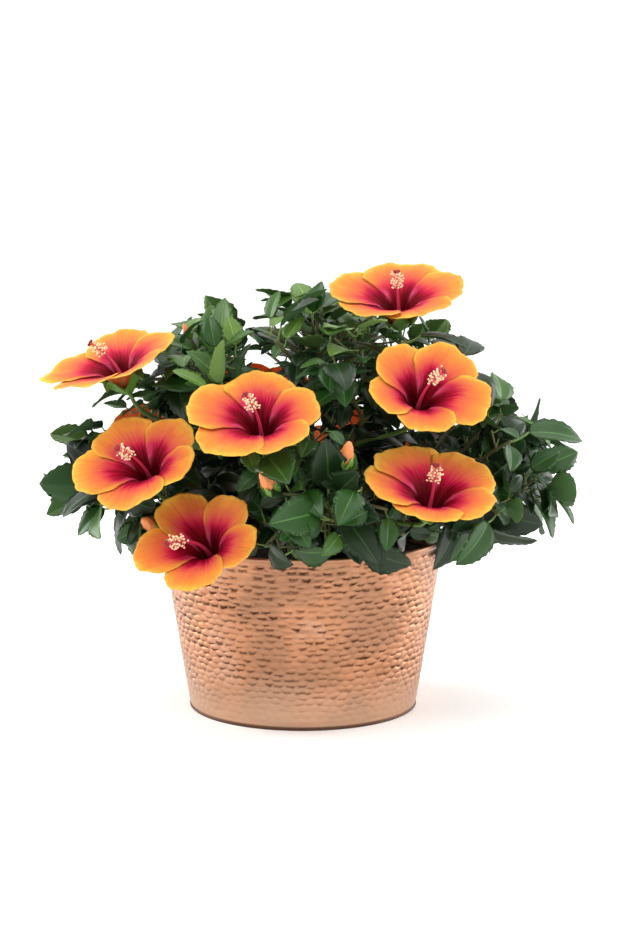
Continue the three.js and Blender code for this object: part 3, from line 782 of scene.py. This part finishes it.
SIDES = 2 * len(ACROSS) - 2
FACE_LOOKS = np.array([2 if i == 3 else 0 if i < 7 else 1 for i in range(SIDES)])
foliage_random = seeded(SEED + 3)
# Shades of green from near-black to yellow-green; the darkest, inner, is painted shade for leaves deep inside
# the crown.
SHADES = {  # upper face, underside and veins
    "inner": ("#0c1a08", "#1f3319", "#172c11"),
    "deep": ("#14290e", "#3b5a36", "#2a4a20"),
    "mid": ("#234517", "#486a3b", "#3f6a2b"),
    "full": ("#385a20", "#587a3e", "#557f36"),
    "fresh": ("#54732c", "#6c8c4a", "#749b48"),
    "young": ("#7fa338", "#8fa850", "#aec666"),
}
SHADE_STEPS = [0.5, 0.7, 0.88, 1.02]
foliage = {shade: Skin() for shade in SHADES}
stems = Skin()
for shoot in shoots + side_twigs + leafy:
    if shoot not in leafy:
        samples = 9 if shoot.steps == 4 else 6
        share = np.linspace(0, 1, samples)
        stems.tube(shoot.path.at(share), mix(shoot.root, shoot.tip, share), 7)
    spray = foliage_random()
    for leaf in shoot.leaves:
        depth = crown_share(leaf.base)
        # Painted light and shade: a leaf is darker deeper in the crown and lighter at its outside and near
        # its top, mixed with a random tone for each leaf and each spray.
        light = 0.55 * depth + 0.3 * foliage_random() + 0.35 * spray + 0.12 * (leaf.base[2] - 240) / 150
        # Painted light at the crown's outside and painted shade within: the outermost leaves are at least
        # full, those in its inner half near-black.
        light = max(light, 0.72) if depth > 0.9 else light if depth > 0.5 else 0
        shade = list(SHADES)[int(np.searchsorted(SHADE_STEPS, light))]
        if leaf.length < 29 and depth > 0.85:
            shade = "young"
        rings = blade_rings(leaf, 0.95, 6.3 * foliage_random())
        start, _ = leaf.spine(np.array(0.0))
        end, _ = leaf.spine(np.array(1.0))
        foliage[shade].loft(rings, start, end, FACE_LOOKS)
        stems.tube(petiole_path(leaf), 0.016 * leaf.length + 0.25, 5, 1)

mass_names = [mass.name for mass in masses]
FINISH = [("", 0.36, 0.3), ("_under", 0.6, 0.25), ("_vein", 0.4, 0.36)]
for shade, colours in SHADES.items():
    materials = [
        plain(f"leaf_{shade}{part}", colour, roughness, **{"Specular IOR Level": gloss})
        for colour, (part, roughness, gloss) in zip(colours, FINISH)
    ]
    replaced = [f"leaves_{name}" for name in mass_names] if shade == "mid" else []
    foliage[shade].make(f"foliage_{shade}", materials, "foliage", replaced)

# ---- Trunk and boughs with bark relief ----


def waves(seed, count, low, high):
    """A smooth repeatable roughness over a surface, from -1 to 1, as a sum of waves."""
    random = seeded(seed)
    terms = [(mix(low, high, random()), round(mix(2, 9, random())), 6.3 * random()) for _ in range(count)]

    def height(along, turn):
        return sum(np.sin(f * along + n * turn + phase) for f, n, phase in terms) / count

    return height


def bark(skin, path, radii, sides, seed):
    fissures = waves(seed, 7, 0.05, 0.35)

    def relief(gone, turns):
        return 1 + 0.11 * fissures(gone, turns) + 0.04 * np.sin(gone * 0.9 + 2 * turns)

    rings, tangents = rings_along(path, radii, sides, relief)
    skin.loft(rings, path[0], path[-1] + tangents[-1] * 0.5 * radii[-1])


wood = Skin()
share = np.linspace(0, 1, 30)
profile = [TRUNK["flare"], 0.5 * (TRUNK["flare"] + TRUNK["foot"]), TRUNK["foot"], 6.5, TRUNK["fork"]]
bark(wood, trunk_foot + np.outer(share, trunk_lean * TRUNK["height"]),
     np.interp(share, [0, 0.1, 0.26, 0.7, 1], profile), 28, 5)
for i, mass in enumerate(masses):
    share = np.linspace(0, 1, 34)
    bark(wood, mass.bough.at(share), mix(BOUGH["root"], BOUGH["tip"], share), 16, 11 + i)

bark_look = Look("bark", "#7a6f55", 0.82)
grain = bark_look.noise(420, 4)
bark_look.into("Base Color", bark_look.ramp(grain, [(0.3, "#4c4433"), (0.55, "#7b7055"), (0.75, "#98906f")]))
bark_look.bump(grain, 0.0006)
wood.make("trunk_and_boughs", [bark_look.material], "bark", ["trunk"] + [f"bough_{n}" for n in mass_names])

# ---- Blooms ----

PETAL_ROWS, PETAL_SPAN = 24, 26
FUNNEL = np.array([[3, -3], [8, 4], [13, 15], [19, 21], [0.58, 27], [0.8, 29.5], [1, 31], [1.2, 31.5]])


def petal_rings(bloom, petal, random):
    """One broad petal: its inner face from side to side, then back under its outer face."""
    reach = bloom.radius * (0.97 + 0.06 * random())
    curl = 7 * (random() - 0.5)
    notch = 0.15 + 0.013 * bloom.bow + 0.06 * random()
    phases = [6.3 * random() for _ in range(4)]
    across = np.linspace(1, -1, PETAL_SPAN + 1)
    v = np.concatenate([across, across[-2:0:-1]])[None]
    top = np.arange(2 * PETAL_SPAN) <= PETAL_SPAN
    u = np.linspace(0, 1, PETAL_ROWS)[:, None] ** 0.85
    spread = np.interp(u[:, 0], [0, 0.15, 0.5, 1], [32, 39, 46, 46])[:, None]
    turn = np.radians(bloom.spin + 72 * petal + spread * v)
    longer = 1 + SWAY * np.cos(turn - radians(bloom.lean))
    crinkle = 0.012 * np.sin(7 * v + phases[0]) + 0.009 * np.sin(17 * v + phases[1]) + 0.005 * np.sin(34 * v)
    rim = reach * (1 - notch * np.abs(v) ** 3 + crinkle) * longer
    radius = mix(1.5, rim, u)
    table = FUNNEL.copy()
    table[4:, 0] *= bloom.radius
    height = np.interp(radius, table[:, 0], table[:, 1])
    outer = np.clip((radius / bloom.radius - 0.35) / 0.65, 0, 1)
    height = height + (curl - v**2) * outer**2.5
    ruffle = 1.5 * np.sin(4.6 * v + phases[2]) + 0.9 * np.sin(10 * v + phases[3] + 3 * u)
    ruffle = ruffle * (1 - 0.4 * v**2) + 0.5 * np.sin(24 * v + phases[1] + 5 * u) * outer
    height = height + ruffle * outer**2 + 1.2 * v * np.clip(radius / 24, 0, 1)
    height = height + 0.25 * np.cos(22 * v) * np.clip(1 - outer, 0, 1) * np.clip(radius / 14, 0, 1)
    thick = np.where(top, 0, 0.5 - 0.25 * outer)
    flat = around_axis(bloom.axis, turn) * radius[..., None]
    return bloom.receptacle + flat + bloom.axis * (height - thick)[..., None]


def petal_uvs(petal):
    """The corners' places on the bake, in the order of a loft's faces: a cell for each face of each petal."""
    margin = 0.02
    side = np.arange(2 * PETAL_SPAN)
    lower = side >= PETAL_SPAN
    left = np.where(lower, 2 * PETAL_SPAN - side, side) / PETAL_SPAN
    right = np.where(lower, left - 1 / PETAL_SPAN, left + 1 / PETAL_SPAN)

    def faces(*corners):
        placed = []
        for x, row in corners:
            u = (petal + margin + (1 - 2 * margin) * x) / 5
            v = (lower[: len(x)] + margin + (1 - 2 * margin) * row / (PETAL_ROWS + 1)) / 2
            placed.append(np.stack([u, v], axis=-1))
        return np.stack(placed, axis=1).reshape(-1, 2)

    def quads(left, right, row):
        return faces((left, row), (right, row), (right, row + 1), (left, row + 1))

    last = PETAL_ROWS
    made = [faces(((left + right) / 2, 0), (right, 1), (left, 1))]
    made += [quads(left, right, row) for row in range(1, last)]
    made.append(quads(left[1 : PETAL_SPAN - 1], right[1 : PETAL_SPAN - 1], last))
    start, inner = np.array([0.0]), np.array([1 / PETAL_SPAN])
    made.append(faces((start, last), (inner, last), (inner, last + 1)))
    made.append(faces((1 - inner, last), (1 - start, last), (1 - inner, last + 1)))
    return np.concatenate(made)


def petal_look(name, seed):
    """Colour by place on a petal: across it and from its throat to its edge, with fine veins fanning out."""
    soft = {"Specular IOR Level": 0.04, "Subsurface Weight": 0.25, "Subsurface Scale": 0.003}
    look = Look(name, "#e0703a", 0.55, **soft)
    uv = look.node("UVMap", uv_map="OFBake").outputs["UV"]
    parts = look.node("SeparateXYZ", {"Vector": uv}).outputs
    cell = look.times(parts["X"], 5.0)
    across = look.math("FRACT", cell)
    out = look.math("FRACT", look.times(parts["Y"], 2.0))

    def patches(wide, tall, layer):
        number = look.math("ADD", look.math("FLOOR", cell), layer)
        return look.noise(1.0, 3, look.point(look.times(across, wide), look.times(out, tall), number))

    veins, cloud = patches(34.0, 1.6, seed), patches(4.0, 3.0, seed + 9.0)
    shift = look.times(look.math("SUBTRACT", cloud, 0.5), 0.22)
    streak = look.times(look.math("SUBTRACT", veins, 0.5), 0.2)
    place = look.math("SUBTRACT", look.math("ADD", out, shift), streak)
    colour = look.ramp(place, [
        (0.0, "#380006"), (0.14, "#420006"), (0.24, "#5c0110"), (0.33, "#800420"), (0.4, "#a61638"),
        (0.47, "#c23a40"), (0.57, "#cc5f40"), (0.7, "#d6743a"), (0.85, "#dc8c3a"), (0.97, "#e8b648"),
    ])
    gold = look.times(look.ramp(cloud, [(0.5, 0.0), (0.7, 0.4)]), look.ramp(out, [(0.6, 0.0), (0.9, 1.0)]))
    colour = look.mix(gold, colour, "#dba53a")
    line = look.ramp(veins, [(0.36, 1.0), (0.46, 0.0)])
    colour = look.mix(look.times(line, 0.22), colour, "#b02a3c")
    side = look.math("ABSOLUTE", look.math("SUBTRACT", across, 0.5))
    band = look.ramp(out, [(0.2, 0.0), (0.3, 1.0), (0.5, 0.0)])
    ray = look.ramp(look.math("ADD", side, look.times(veins, 0.3)), [(0.42, 0.0), (0.56, 1.0)])
    colour = look.mix(look.times(look.times(band, ray), 0.75), colour, "#de4d74")
    behind = look.math("GREATER_THAN", parts["Y"], 0.5)
    look.into("Base Color", look.mix(look.times(behind, 0.8), colour, "#b9763f"))
    look.bump(veins, 0.0012, 0.9)
    return look.material


def sphere_rings(centre, radius, axis, count=4, sides=6):
    tilts = pi * (np.arange(count) + 1) / (count + 1)
    circle = around_axis(axis, full_turn(sides))
    rings = [centre - axis * radius * cos(t) + circle * radius * sin(t) for t in tilts]
    return np.array(rings), centre - axis * radius, centre + axis * radius


STAMENS = 46


def add_column(skin, bloom, random):
    """The staminal column: a tapering tube, anthers on fine filaments, and five stigmas close together."""
    at = bloom.receptacle
    tip = at + bloom.axis * (COLUMN_LENGTH - 4) + bloom.leaning * bloom.bow
    curve = Curve(at + bloom.axis * 2, at + bloom.axis * 0.6 * COLUMN_LENGTH, tip)
    share = np.linspace(0, 1, 14)
    skin.tube(curve.at(share), np.interp(share, [0, 0.3, 1], [2.3, 1.5, 0.8]), 9, 0)
    for i in range(STAMENS):
        place = 0.7 + 0.29 * (i + random()) / STAMENS
        node, tangent = curve.at(place), curve.tangent(place)
        turn = radians(137.5 * i + 25 * random())
        out = unit(around_axis(tangent, turn) + (0.1 + 0.7 * random()) * tangent)
        end = node + out * (3.6 + 3.2 * random())
        skin.tube([node, mix(node, end, 0.5) + tangent * 0.5, end], 0.2, 4, 1)
        skin.loft(*sphere_rings(end, 0.95, out, 3, 6), 2)
    onward = curve.tangent(1)
    for i in range(5):
        out = unit(around_axis(onward, radians(72 * i + 20)) + 1.6 * onward)
        end = tip + out * 4.2
        skin.tube([tip, mix(tip, end, 0.5) + onward * 0.4, end], 0.4, 5, 0)
        skin.loft(*sphere_rings(end, 1.35, out, 4, 8), 3)


def add_cup(skin, at, axis, profile):
    """A green cup of five pointed sepals, as a thin shell. The profile is heights and radii."""
    turns = full_turn(30)
    circle = around_axis(axis, turns)
    pointed = np.abs(np.cos(2.5 * turns)) ** 1.3

    def ring(height, radius, lobed):
        tall = height * (1 - lobed * (1 - pointed))
        return at + np.multiply.outer(tall, axis) + circle * radius

    lobes = np.linspace(0, 1, len(profile)) ** 1.5 * 0.6
    outer = [ring(height, radius, lobe) for (height, radius), lobe in zip(profile, lobes)]
    inner = [ring(height - 0.1, radius - 0.5, lobe) for (height, radius), lobe in zip(profile, lobes)]
    skin.loft(np.array(outer + inner[:0:-1]), at - axis * 0.5, at + axis * (profile[1][0] - 0.1))


def add_bractlets(skin, at, axis, size, reach):
    for i in range(7):
        out = around_axis(axis, 2 * pi * (i + 0.3) / 7)
        path = Curve(at, at + out * 0.9 * reach + axis * 0.1 * size, at + out * 1.25 * reach + axis * size)
        share = np.linspace(0, 1, 6)
        skin.tube(path.at(share), np.interp(share, [0, 0.4, 1], [0.6, 0.75, 0.2]), 5)


def add_bud(petals, greens, at, axis, size, width):
    """A bud about to open: rolled petals that come out of their calyx."""
    turns = full_turn(20)
    rings = []
    for up in np.linspace(0.06, 0.96, 13):
        radius = width * np.interp(up, [0, 0.3, 0.55, 0.8, 1], [0.42, 0.8, 0.88, 0.6, 0.18])
        ridge = radius * (1 + 0.13 * np.abs(np.sin(2.5 * (turns - 1.2 * up))))
        rings.append(at + axis * size * up + around_axis(axis, turns + 2.2 * up) * ridge[:, None])
    petals.loft(np.array(rings), at, at + axis * size)
    profile = [(0, 0.25), (0.1, 0.7), (0.25, 0.98), (0.42, 1.1), (0.58, 1.12)]
    add_cup(greens, at, axis, [(size * up, width * wide) for up, wide in profile])
    add_bractlets(greens, at - axis * 0.5, axis, 0.42 * size, 0.8 * width)


bloom_random = seeded(SEED + 4)
columns, greens, buds = Skin(), Skin(), Skin()
for number, bloom in enumerate(blooms):
    petals = Skin()
    uvs = []
    for petal in range(5):
        rings = petal_rings(bloom, petal, bloom_random)
        petals.loft(rings, rings[0].mean(axis=0) - bloom.axis * 0.3)
        uvs.append(petal_uvs(petal))
    look = petal_look(f"petal_{number + 1}", 3.7 * number)
    obj = petals.make(f"petals_{number + 1}", [look], "petals", [bloom.name])
    layer = obj.data.uv_layers.new(name="OFBake")
    layer.data.foreach_set("uv", np.concatenate(uvs).astype(np.float32).ravel())
    add_column(columns, bloom, bloom_random)
    at = bloom.receptacle - bloom.axis * 6
    add_cup(greens, at, bloom.axis, [(0, 2.4), (2, 5.4), (7, 9), (13, 12.2), (19, 15.4), (22, 19)])
    add_bractlets(greens, at, bloom.axis, 11, 8.5)
    share = np.linspace(0, 1, 16)
    stems.tube(bloom.path.at(share), mix(STALK["root"], STALK["tip"], share), 8, 1)

for shoot in shoots:
    if shoot.bud:
        axis = unit(shoot.path.tangent(1) + UP)
        add_bud(buds, greens, shoot.path.point(1.0) - axis, axis, BUD["length"], BUD["radius"])

SMALL_BUD = dict(length=15, radius=3.2, share=0.3, beyond=0.8, aside=90, above=300)
for twig in side_twigs:
    tip = twig.path.point(1.0)
    budding = crown_share(tip) > SMALL_BUD["beyond"] and bloom_random() < SMALL_BUD["share"]
    if budding and (abs(tip[0]) > SMALL_BUD["aside"] or tip[2] > SMALL_BUD["above"]):
        axis = unit(twig.path.tangent(1) + 0.5 * UP)
        add_bud(buds, greens, tip - axis, axis, SMALL_BUD["length"], SMALL_BUD["radius"])

columns.make("columns_and_anthers", [
    plain("column", "#c22a4e", 0.5),
    plain("filament", "#f1ab90", 0.55),
    plain("anther", "#f8d8ae", 0.7),
    plain("stigma", "#8a0f1c", 0.6),
], "petals")
greens.make("calyces", [plain("calyx", "#5f8a35", 0.5)], "foliage")
buds.make("buds", [plain("bud", "#da8248", 0.5)], "petals")
stems.make("stems", [plain("stem", "#5c5a33", 0.6), plain("stalk", "#5d7a35", 0.5)], "bark")

# ---- Planter ----

AROUND, UPWARDS = 520, 170
PAD = dict(wide=10.2, tall=5.8, relief=0.95, jitter=0.62)


def hammered(turn, z):
    """Relief of the hammered wall at each place, and the painted shade in the crease under each pad and in
    the grooves round the pads.
    """
    random = seeded(77)
    rows = round(HEIGHT / PAD["tall"])
    columns = round(pi * (RIM + BASE) / PAD["wide"])
    draws = np.array([random() for _ in range((rows + 4) * columns * 3)]).reshape(3, rows + 4, columns)
    nearest, second = np.full((2,) + z.shape, 99.0)
    below, beside, strength = np.zeros((3,) + z.shape)
    row_at = z / PAD["tall"]
    column_at = turn * columns / (2 * pi)
    for up in range(-2, 3):
        row = np.floor(row_at).astype(int) + up
        for aside in range(-2, 3):
            column = np.floor(column_at).astype(int) + aside
            draw = draws[:, row + 2, column % columns]
            middle_x = column + 0.5 * (row % 2) + 0.5 + PAD["jitter"] * (draw[0] - 0.5)
            middle_z = row + 0.5 + PAD["jitter"] * (draw[1] - 0.5)
            x, y = 2 * (column_at - middle_x), 2 * (row_at - middle_z)
            far = np.hypot(x, y)
            closer = far < nearest
            second = np.where(closer, nearest, np.minimum(second, far))
            for kept, new in ((nearest, far), (below, -y), (beside, x), (strength, draw[2])):
                np.copyto(kept, new, where=closer)
    inside = (second - nearest) / (second + nearest)
    patch = 0.5 + 0.5 * np.sin(3 * turn + 0.05 * z) * np.sin(0.06 * z + 1 + 2 * turn)
    patch = np.clip(0.5 + 0.8 * patch, 0, 1) * np.interp(z, [14, 50, 150], [0.1, 0.95, 1])
    relief = (1 - (1 - np.clip(1.7 * inside, 0, 1)) ** 2) * (0.35 + 0.65 * patch)
    # Painted shade: a dark crescent in the crease under each pad, where the pad's own shadow falls.
    crease = np.clip(1.75 - inside / 0.36, 0, 1) * np.clip(2.5 * below - 0.5, 0, 1)
    crease *= np.clip(2.4 - 2.6 * np.abs(beside), 0, 1)
    painted_wall_shade = crease * np.clip(3 * strength, 0, 1) * patch
    # Painted shade in the grooves all round the pads.
    groove = 0.16 * np.clip(1 - inside / 0.4, 0, 1) * patch
    return relief - 0.6 * painted_wall_shade, np.maximum(painted_wall_shade, groove)


turns = full_turn(AROUND)[None]
levels = np.linspace(4, HEIGHT - 6, UPWARDS)[:, None]
relief, painted_wall_shade = hammered(turns + 0 * levels, levels + 0 * turns)
fade = np.clip((levels - 4) / 4, 0, 1) * np.clip((HEIGHT - 6 - levels) / 3, 0, 1)
relief *= fade
painted_wall_shade *= fade


def circle(radius, z, turns=turns[0]):
    x, y = radius * np.cos(turns), radius * np.sin(turns)
    return np.stack([x, y, np.broadcast_to(z, turns.shape)], axis=-1)


seam = [(SEAM - 0.6, 0), (SEAM, 0.5), (SEAM, 1.9), (0.3, 2.5)]
outside = [circle(BASE + out, z) for out, z in seam]
wall_start = len(outside)
outside += [circle(planter_radius(z) + PAD["relief"] * r, z) for z, r in zip(levels[:, 0], relief)]
wall_end = len(outside)
for bow in pi * np.linspace(-0.25, 0.75, 7):
    outside.append(circle(RIM + 0.2 + BEAD * cos(bow) * 0.62, HEIGHT - BEAD + BEAD * sin(bow)))
inside = [circle(planter_radius(z) - WALL, z) for z in np.linspace(HEIGHT - 3.5, WALL, 8)]
pot = Skin()
pot.loft(np.array(outside + inside), [0, 0, 0], [0, 0, WALL])
rows_total = len(outside) + len(inside)

copper = Look("hammered_copper", "#d99f78", 0.34, 1.0)
# Read from a point attribute: the painted shade of the creases and grooves, a darker base seam and a darker
# inside wall.
painted_shade_and_seam = copper.node("Attribute", attribute_name="painted_shade_and_seam").outputs["Fac"]
cloud = copper.noise(17, 3)
base = copper.ramp(cloud, [(0.34, "#a07459"), (0.47, "#a87a5d"), (0.57, "#bb8462"), (0.7, "#c39377")])
height = copper.node("SeparateXYZ", {0: copper.node("TexCoord").outputs["Object"]}).outputs["Z"]
# Paler towards the bottom of the wall, with a ragged edge.
ragged_height = copper.math("ADD", height, copper.times(copper.noise(11, 2), 0.05))
base = copper.mix(copper.ramp(ragged_height, [(0.03, 0.65), (0.08, 0.0)]), base, "#d3b096")
# Painted shade: the copper darkens towards a deep brown in the creases and grooves.
copper.into("Base Color", copper.mix(painted_shade_and_seam, base, "#331408"))
dull = copper.math("ADD", painted_shade_and_seam, copper.times(cloud, 0.4))
copper.into("Roughness", remap(copper.tree, dull, 0.1, 1.0, 0.3, 0.6))
copper.bump(copper.noise(900, 2), 0.00012, 0.5)
pot_obj = pot.make("hammered_planter", [copper.material], "copper", ["planter"])
# The point attribute holds painted shade over the hammered wall, a darker seam at the base and a darker
# inside wall.
tone = np.zeros((rows_total, AROUND))
tone[wall_start:wall_end] = painted_wall_shade
tone[:wall_start] = 0.85
tone[len(outside):] = 0.4
layer = pot_obj.data.attributes.new("painted_shade_and_seam", "FLOAT", "POINT")
layer.data.foreach_set("value", np.concatenate([[0.5], tone.ravel(), [0.5]]).astype(np.float32))

# ---- Soil ----

LUMPS = [
    (0.21, 0.13, 1), (-0.17, 0.24, 2), (0.43, -0.31, 3),
    (0.38, 0.52, 4), (0.9, 0.3, 5), (-0.5, 0.95, 6),
]
soil = Skin()
rings = []
soil_edge = planter_radius(SOIL_TOP) - WALL - 0.6
around = full_turn(140)
for radius in np.linspace(soil_edge, 3, 34)[::-1]:
    x, y, _ = circle(radius, 0, around).T
    bumps = sum(np.sin(fx * x + fy * y + phase) for fx, fy, phase in LUMPS)
    edge = 3 * np.clip((radius - soil_edge + 14) / 14, 0, 1)
    rings.append(circle(radius, SOIL_TOP - 0.8 - edge + 0.35 * bumps, around))
rings.append(circle(planter_radius(60) - WALL - 0.8, 60, around))
soil.loft(np.array(rings)[::-1], [0, 0, 60], [0, 0, SOIL_TOP])
earth = Look("potting_soil", "#2e2119", 0.95)
crumbs = earth.noise(260, 5)
earth.into("Base Color", earth.ramp(crumbs, [(0.35, "#19110c"), (0.55, "#3a2a1f"), (0.7, "#5b4634")]))
earth.bump(crumbs, 0.002)
soil.make("soil_surface", [earth.material], "soil", ["potting_soil"])

# ---- Stage, light and camera ----


def stage_floor():
    look = Look("floor", "#f6f6f5", 0.75)
    grain = look.noise(3, 2)
    look.into("Base Color", look.ramp(grain, [(0.3, "#f4f4f3"), (0.7, "#f8f8f7")]))
    place = look.node("TexCoord").outputs["Object"]
    away = look.node("VectorMath", {0: place}, operation="LENGTH").outputs["Value"]
    look.shader.inputs["Emission Color"].default_value = (1, 1, 1, 1)
    look.into("Emission Strength", remap(look.tree, away, 0.7, 3.5, 0.0, 0.3))
    mesh = bpy.data.meshes.new("floor")
    turns = full_turn(64)
    mesh.from_pydata(circle(40, 0, turns).tolist(), [], [tuple(range(64))])
    mesh.materials.append(look.material)
    obj = bpy.data.objects.new("floor", mesh)
    link(obj)


def area_light(name, place, target, size, power):
    light = bpy.data.lights.new(name, "AREA")
    light.shape, light.size, light.size_y, light.energy = "RECTANGLE", size[0], size[1], power
    obj = bpy.data.objects.new(name, light)
    obj.location = place
    direction = np.array(target) - np.array(place)
    obj.rotation_euler = Vector(direction).to_track_quat("-Z", "Y").to_euler()
    link(obj)


stage_floor()
area_light("key", (-1.5, -1.6, 2.2), (0, 0, 0.2), (1.2, 1.2), 38)
area_light("fill", (1.6, -1.7, 1.2), (0, 0, 0.2), (1.2, 1.6), 17)
area_light("top", (0.1, 0.4, 2.6), (0, 0, 0.2), (2.2, 2.2), 22)
area_light("side", (-1.9, 0.7, 0.8), (0, 0, 0.15), (1.0, 1.8), 34)
area_light("rim", (1.9, 0.7, 0.8), (0, 0, 0.15), (1.0, 1.8), 34)

world_light = bpy.data.worlds.new("studio")
world_light.use_nodes = True
sky = world_light.node_tree
way = add_node(sky, "SeparateXYZ", {0: add_node(sky, "TexCoord").outputs["Generated"]}).outputs
height = add_node(sky, "Math", {0: way["Z"]}, operation="ABSOLUTE").outputs[0]
# White behind the object from every side: bright at the back of the room and all round the horizon.
across = remap(sky, way["Y"], -1.0, 0.2, 0.5, 1.1)
horizon = remap(sky, height, 0.1, 0.16, 1.1, 0.0)
brighter = add_node(sky, "Math", {0: across, 1: horizon}, operation="MAXIMUM")
background = sky.nodes["Background"].inputs
sky.links.new(brighter.outputs[0], background["Strength"])
background["Color"].default_value = (1, 1, 1, 1)
bpy.context.scene.world = world_light
bpy.context.scene.view_settings.view_transform = "Standard"

camera = bpy.data.cameras.new("camera")
camera.lens = 83.96
camera.sensor_width = 36
camera.sensor_fit = "AUTO"
eye = bpy.data.objects.new("camera", camera)
eye.location = (0.007, -1.97955, 0.50826)
eye.rotation_euler = (radians(90 - 8.2), 0, 0)
link(eye)
bpy.context.scene.camera = eye
